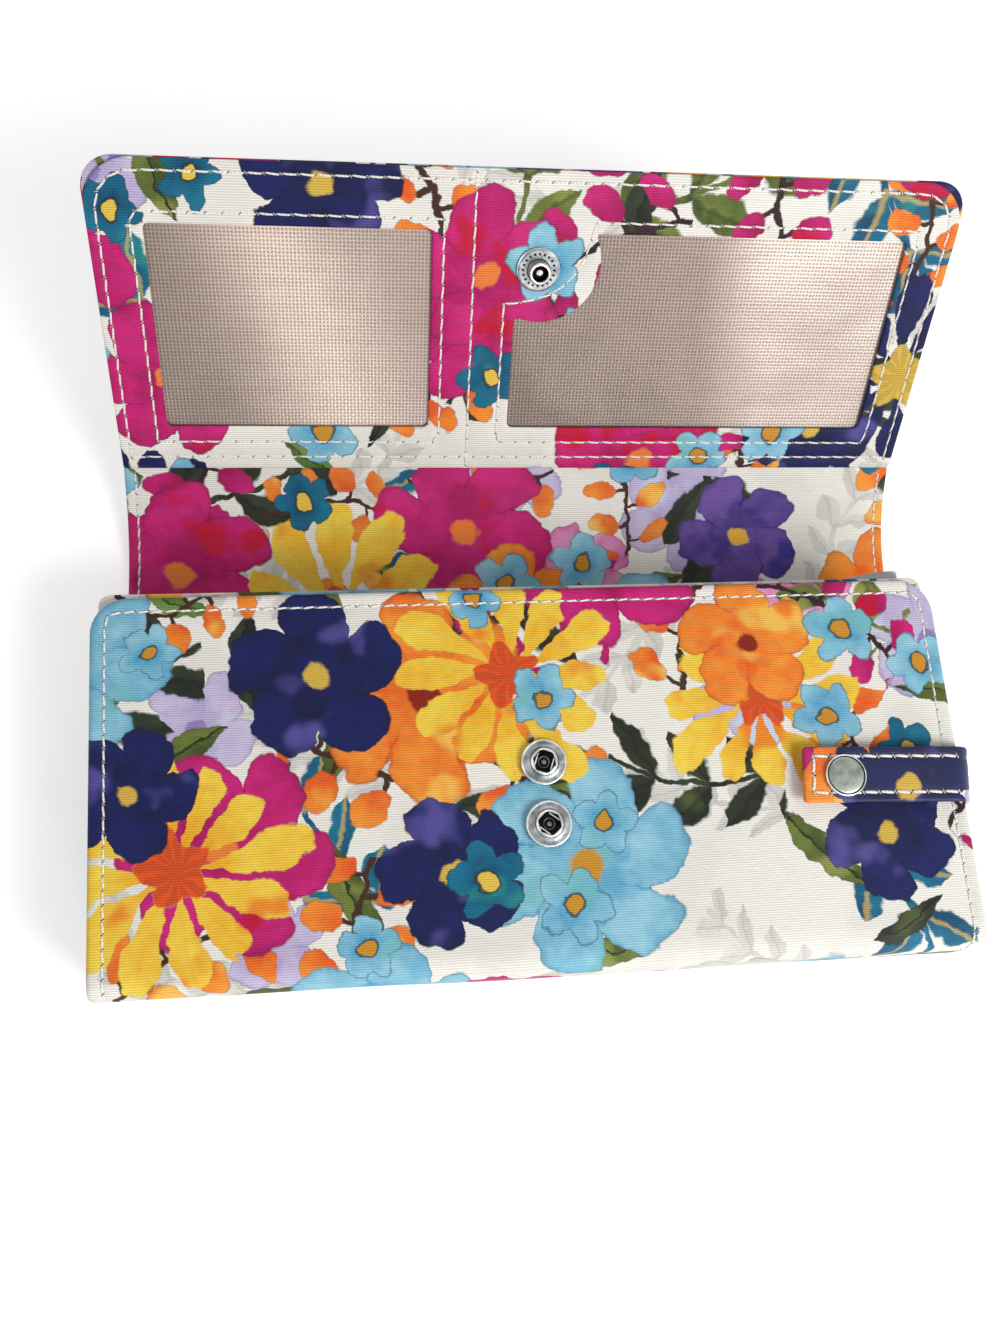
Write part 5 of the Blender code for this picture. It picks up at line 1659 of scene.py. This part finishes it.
def build_pockets():
    """Bill compartment, coin pouch and card slots, inside the block."""
    _, _, mouth, z_low, z_high = node_span("bill_pocket_lining")
    rear, front = node_span("coin_pouch_rear"), node_span("coin_pouch_front")

    def bill(x, v):
        return (z_low + z_high) / 2 + 1.3 * MM * np.sin(x / (31 * MM) + 0.6) * ease(v, 40 * MM, mouth)

    def belly(x, v):
        """How full the pouch is: nothing at its sides and base, and all of it up to its wide mouth."""
        reach = (12 - 8.4 * ease(v, 56 * MM, 72 * MM)) * MM
        return ease((rear[0] - np.abs(x)) / reach, 0, 1) * ease(v, 4 * MM, 30 * MM)

    def rear_wall(x, v):
        return rear[4] - 0.4 * MM - 2.4 * MM * belly(x, v)

    def front_wall(x, v):
        return front[3] + 0.45 * MM + 2.35 * MM * belly(x, v)

    below = "case_back_and_spine"
    for name, node, material, middle, thick in (
        ("bill_pocket_satin", "bill_pocket_lining", LINING, bill, 0.8 * MM),
        ("coin_pouch_rear_wall", "coin_pouch_rear", LINING, rear_wall, 0.7 * MM),
        ("coin_pouch_front_wall", "coin_pouch_front", OUTSIDE, front_wall, 0.8 * MM),
    ):
        pocket_sheet(name, node, "back", material, middle, thick, POCKET_CORNER, POCKET_HEM, below)
        below = name
    card_slots("card_slot_satin", "rear_card_slot", "back", 3, below)
    name, inner = "front_inner_canvas", level(FRONT_HIGH.z - PANEL - 0.16 * MM)
    pocket_sheet(name, "front_lining", "front", OUTSIDE, inner, *INNER_SIZES, "front_cover", INNER_GROW)
    card_slots("cover_card_slot", "front_card_slot", "front", 2, name)

    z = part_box("back_lining")[1].z + BACK_SATIN_RISE
    loop = rounded(-BACK_SATIN_HALF, BACK_SATIN_HALF, *BACK_SATIN_V, (1 * MM,) * 4, 3 * MM)
    lining = Panel([loop], block_place(level(z), 0.2 * MM), 0.1 * MM)
    piece = lining.build("back_satin", LINING, 5 * MM)
    declare(piece, "back", "pocket_lining", "back_lining")
    as_sheet(lining)


def build_gusset():
    """Folds of satin that rise past the cover at the block's far right corner."""
    mouth, low, corner = GUSSET_MOUTH, GUSSET_LOW, GUSSET_CORNER
    for fold in range(GUSSET_FOLDS):
        right, top = GUSSET_RIGHT - GUSSET_STEP * fold, GUSSET_TOP - GUSSET_STEP * fold
        left, height = GUSSET_LEFT + GUSSET_LEFT_STEP * fold, GUSSET_HEIGHT + GUSSET_RISE * fold
        across = np.linspace(right - corner, left, 30)
        rise = [(x, mouth + (top - mouth) * ease(x, left, right)) for x in across]
        turn = arc((right - corner, top - corner), corner, 0, 80, 0.3 * MM)
        side = straight((right, low), (right, top - corner), 2 * MM)
        slant = straight((left + 3 * MM, mouth - 5 * MM), (right - 4.5 * MM, low), 2 * MM)

        def ruffle(x, v, height=height, fold=fold):
            return height + 0.22 * MM * np.sin(x / (8 * MM) + 1.7 * fold) + 0.1 * MM * np.sin(v / (2 * MM))

        panel = Panel([np.array(side + turn + rise[1:] + slant)], block_place(ruffle, 0.42 * MM), 0.21 * MM)
        piece = panel.build(f"gusset_satin_{fold + 1}", LINING, 2.5 * MM)
        declare(piece, "back", "pocket_lining")
        as_sheet(panel)


def build_zipper():
    """Two twill tapes that turn in to the chain, and its interlocking teeth."""
    for side, turn in (("rear", 1), ("front", -1)):
        node = f"zipper_tape_{side}"
        half, _, v_high, z_low, z_high = node_span(node)
        sewn = z_low + TAPE_IN if turn > 0 else z_high - TAPE_IN
        loop = rounded(-half, half, v_high - TAPE_WIDTH, v_high, (0.4 * MM,) * 4, 1.6 * MM)

        def tape(x, v, sewn=sewn, turn=turn, v_high=v_high):
            return sewn + turn * TAPE_TURN * ease(v, v_high - 5.5 * MM, v_high)

        panel = Panel([loop], block_place(tape, 0.45 * MM), 0.22 * MM)
        piece = panel.build(f"zipper_tape_{side}_twill", ZIPPER_TAPE, 2 * MM)
        declare(piece, "back", "zipper", node)
        as_sheet(panel)

    low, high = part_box("zipper_chain")
    middle = (low + high) / 2
    size = Matrix.Diagonal((TOOTH_LENGTH, high.y - low.y, TOOTH_HEIGHT, 1))
    bm = bmesh.new()
    for i in range(int((high.x - low.x) / TOOTH_PITCH)):
        shift = TOOTH_SHIFT if i % 2 else -TOOTH_SHIFT
        place = Matrix.Translation((low.x + TOOTH_PITCH * (i + 0.5), middle.y, middle.z + shift))
        bmesh.ops.create_cube(bm, size=1.0, matrix=place @ size)
    bmesh.ops.bevel(bm, geom=list(bm.edges), offset=0.18 * MM, segments=2, affect="EDGES")
    mesh = bpy.data.meshes.new("zipper_teeth")
    bm.to_mesh(mesh)
    bm.free()
    shade(mesh, 40)
    mesh.materials.append(BRIGHT_STEEL_AND_HIGHLIGHT)
    declare(link("zipper_teeth", mesh), "back", "zipper", "zipper_chain")


NODE_FINISH = {
    "printed_canvas": OUTSIDE,
    "pocket_lining": LINING,
    "window_mesh": NET,
    "stiffener_board": ZIPPER_TAPE,
    "snap_steel": SATIN_STEEL,
    "zipper": BRIGHT_STEEL_AND_HIGHLIGHT,
}


def finish_nodes():
    """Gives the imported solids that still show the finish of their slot."""
    for node in frame["nodes"].values():
        for slot in node.material_slots:
            key = (slot.material.name if slot.material else "").split(".")[0]
            slot.material = NODE_FINISH.get(key, SATIN_STEEL)


def seen_rays(t):
    """1 for what the camera sees, straight or by gloss and glass, and 0 for the light on things."""
    rays = t.node("LightPath")
    seen = [Wire(t, rays.outputs[f"Is {kind} Ray"]) for kind in ("Camera", "Glossy", "Transmission")]
    return t.math("MAXIMUM", t.math("MAXIMUM", seen[0], seen[1]), seen[2])


def build_stage():
    """A white floor under soft lamps; the camera sees it as white, with the object's shadow."""
    material, t, shader = new_material("pale_floor")
    grain = t.noise(t.own_place(), 60.0, 3.0)
    t.feed(shader.inputs["Base Color"], t.mix(grain, (0.86, 0.86, 0.86, 1), (0.9, 0.9, 0.9, 1)))
    shader.inputs["Roughness"].default_value = 0.9
    shader.inputs["Emission Color"].default_value = WHITE
    far = t.ramp(t.vector("LENGTH", t.own_place(), output=1), 0.3, 0.9)
    t.feed(shader.inputs["Emission Strength"], seen_rays(t) * (far * (1.0 - FLOOR_GLOW) + FLOOR_GLOW))
    mesh = bpy.data.meshes.new("floor")
    corners = [(x * FLOOR_HALF, y * FLOOR_HALF, FLOOR_Z) for x, y in ((-1, -1), (1, -1), (1, 1), (-1, 1))]
    mesh.from_pydata(corners, [], [(0, 1, 2, 3)])
    mesh.materials.append(material)
    link("floor", mesh)

    world = bpy.data.worlds.new("studio")
    bpy.context.scene.world = world
    world.use_nodes = True
    t = Tree(world.node_tree)
    background = t.nodes["Background"]
    background.inputs["Color"].default_value = WHITE
    t.feed(background.inputs["Strength"], seen_rays(t) * (1.0 - SKY) + SKY)
    for name, place, size, power in LAMPS:
        data = bpy.data.lights.new(name, "AREA")
        data.energy = power
        data.size = size
        lamp = link(name, data)
        lamp.location = place
        lamp.rotation_euler = (LAMPS_AIM - Vector(place)).to_track_quat("-Z", "Y").to_euler()


def build_camera():
    data = bpy.data.cameras.new("camera")
    data.lens = CAMERA_LENS
    data.sensor_width = CAMERA_SENSOR
    data.clip_start = 0.01
    camera = link("camera", data)
    back = -CAMERA_FORWARD.normalized()
    right = CAMERA_UP.cross(back).normalized()
    turn = Matrix((right, back.cross(right), back)).transposed().to_4x4()
    camera.matrix_world = Matrix.Translation(CAMERA_PLACE) @ turn
    bpy.context.scene.camera = camera
    bpy.context.scene.view_settings.view_transform = "Standard"


build_camera()
build_stage()
build_case()
build_flap()
build_snaps()
build_tab()
build_pockets()
build_gusset()
build_zipper()
finish_nodes()
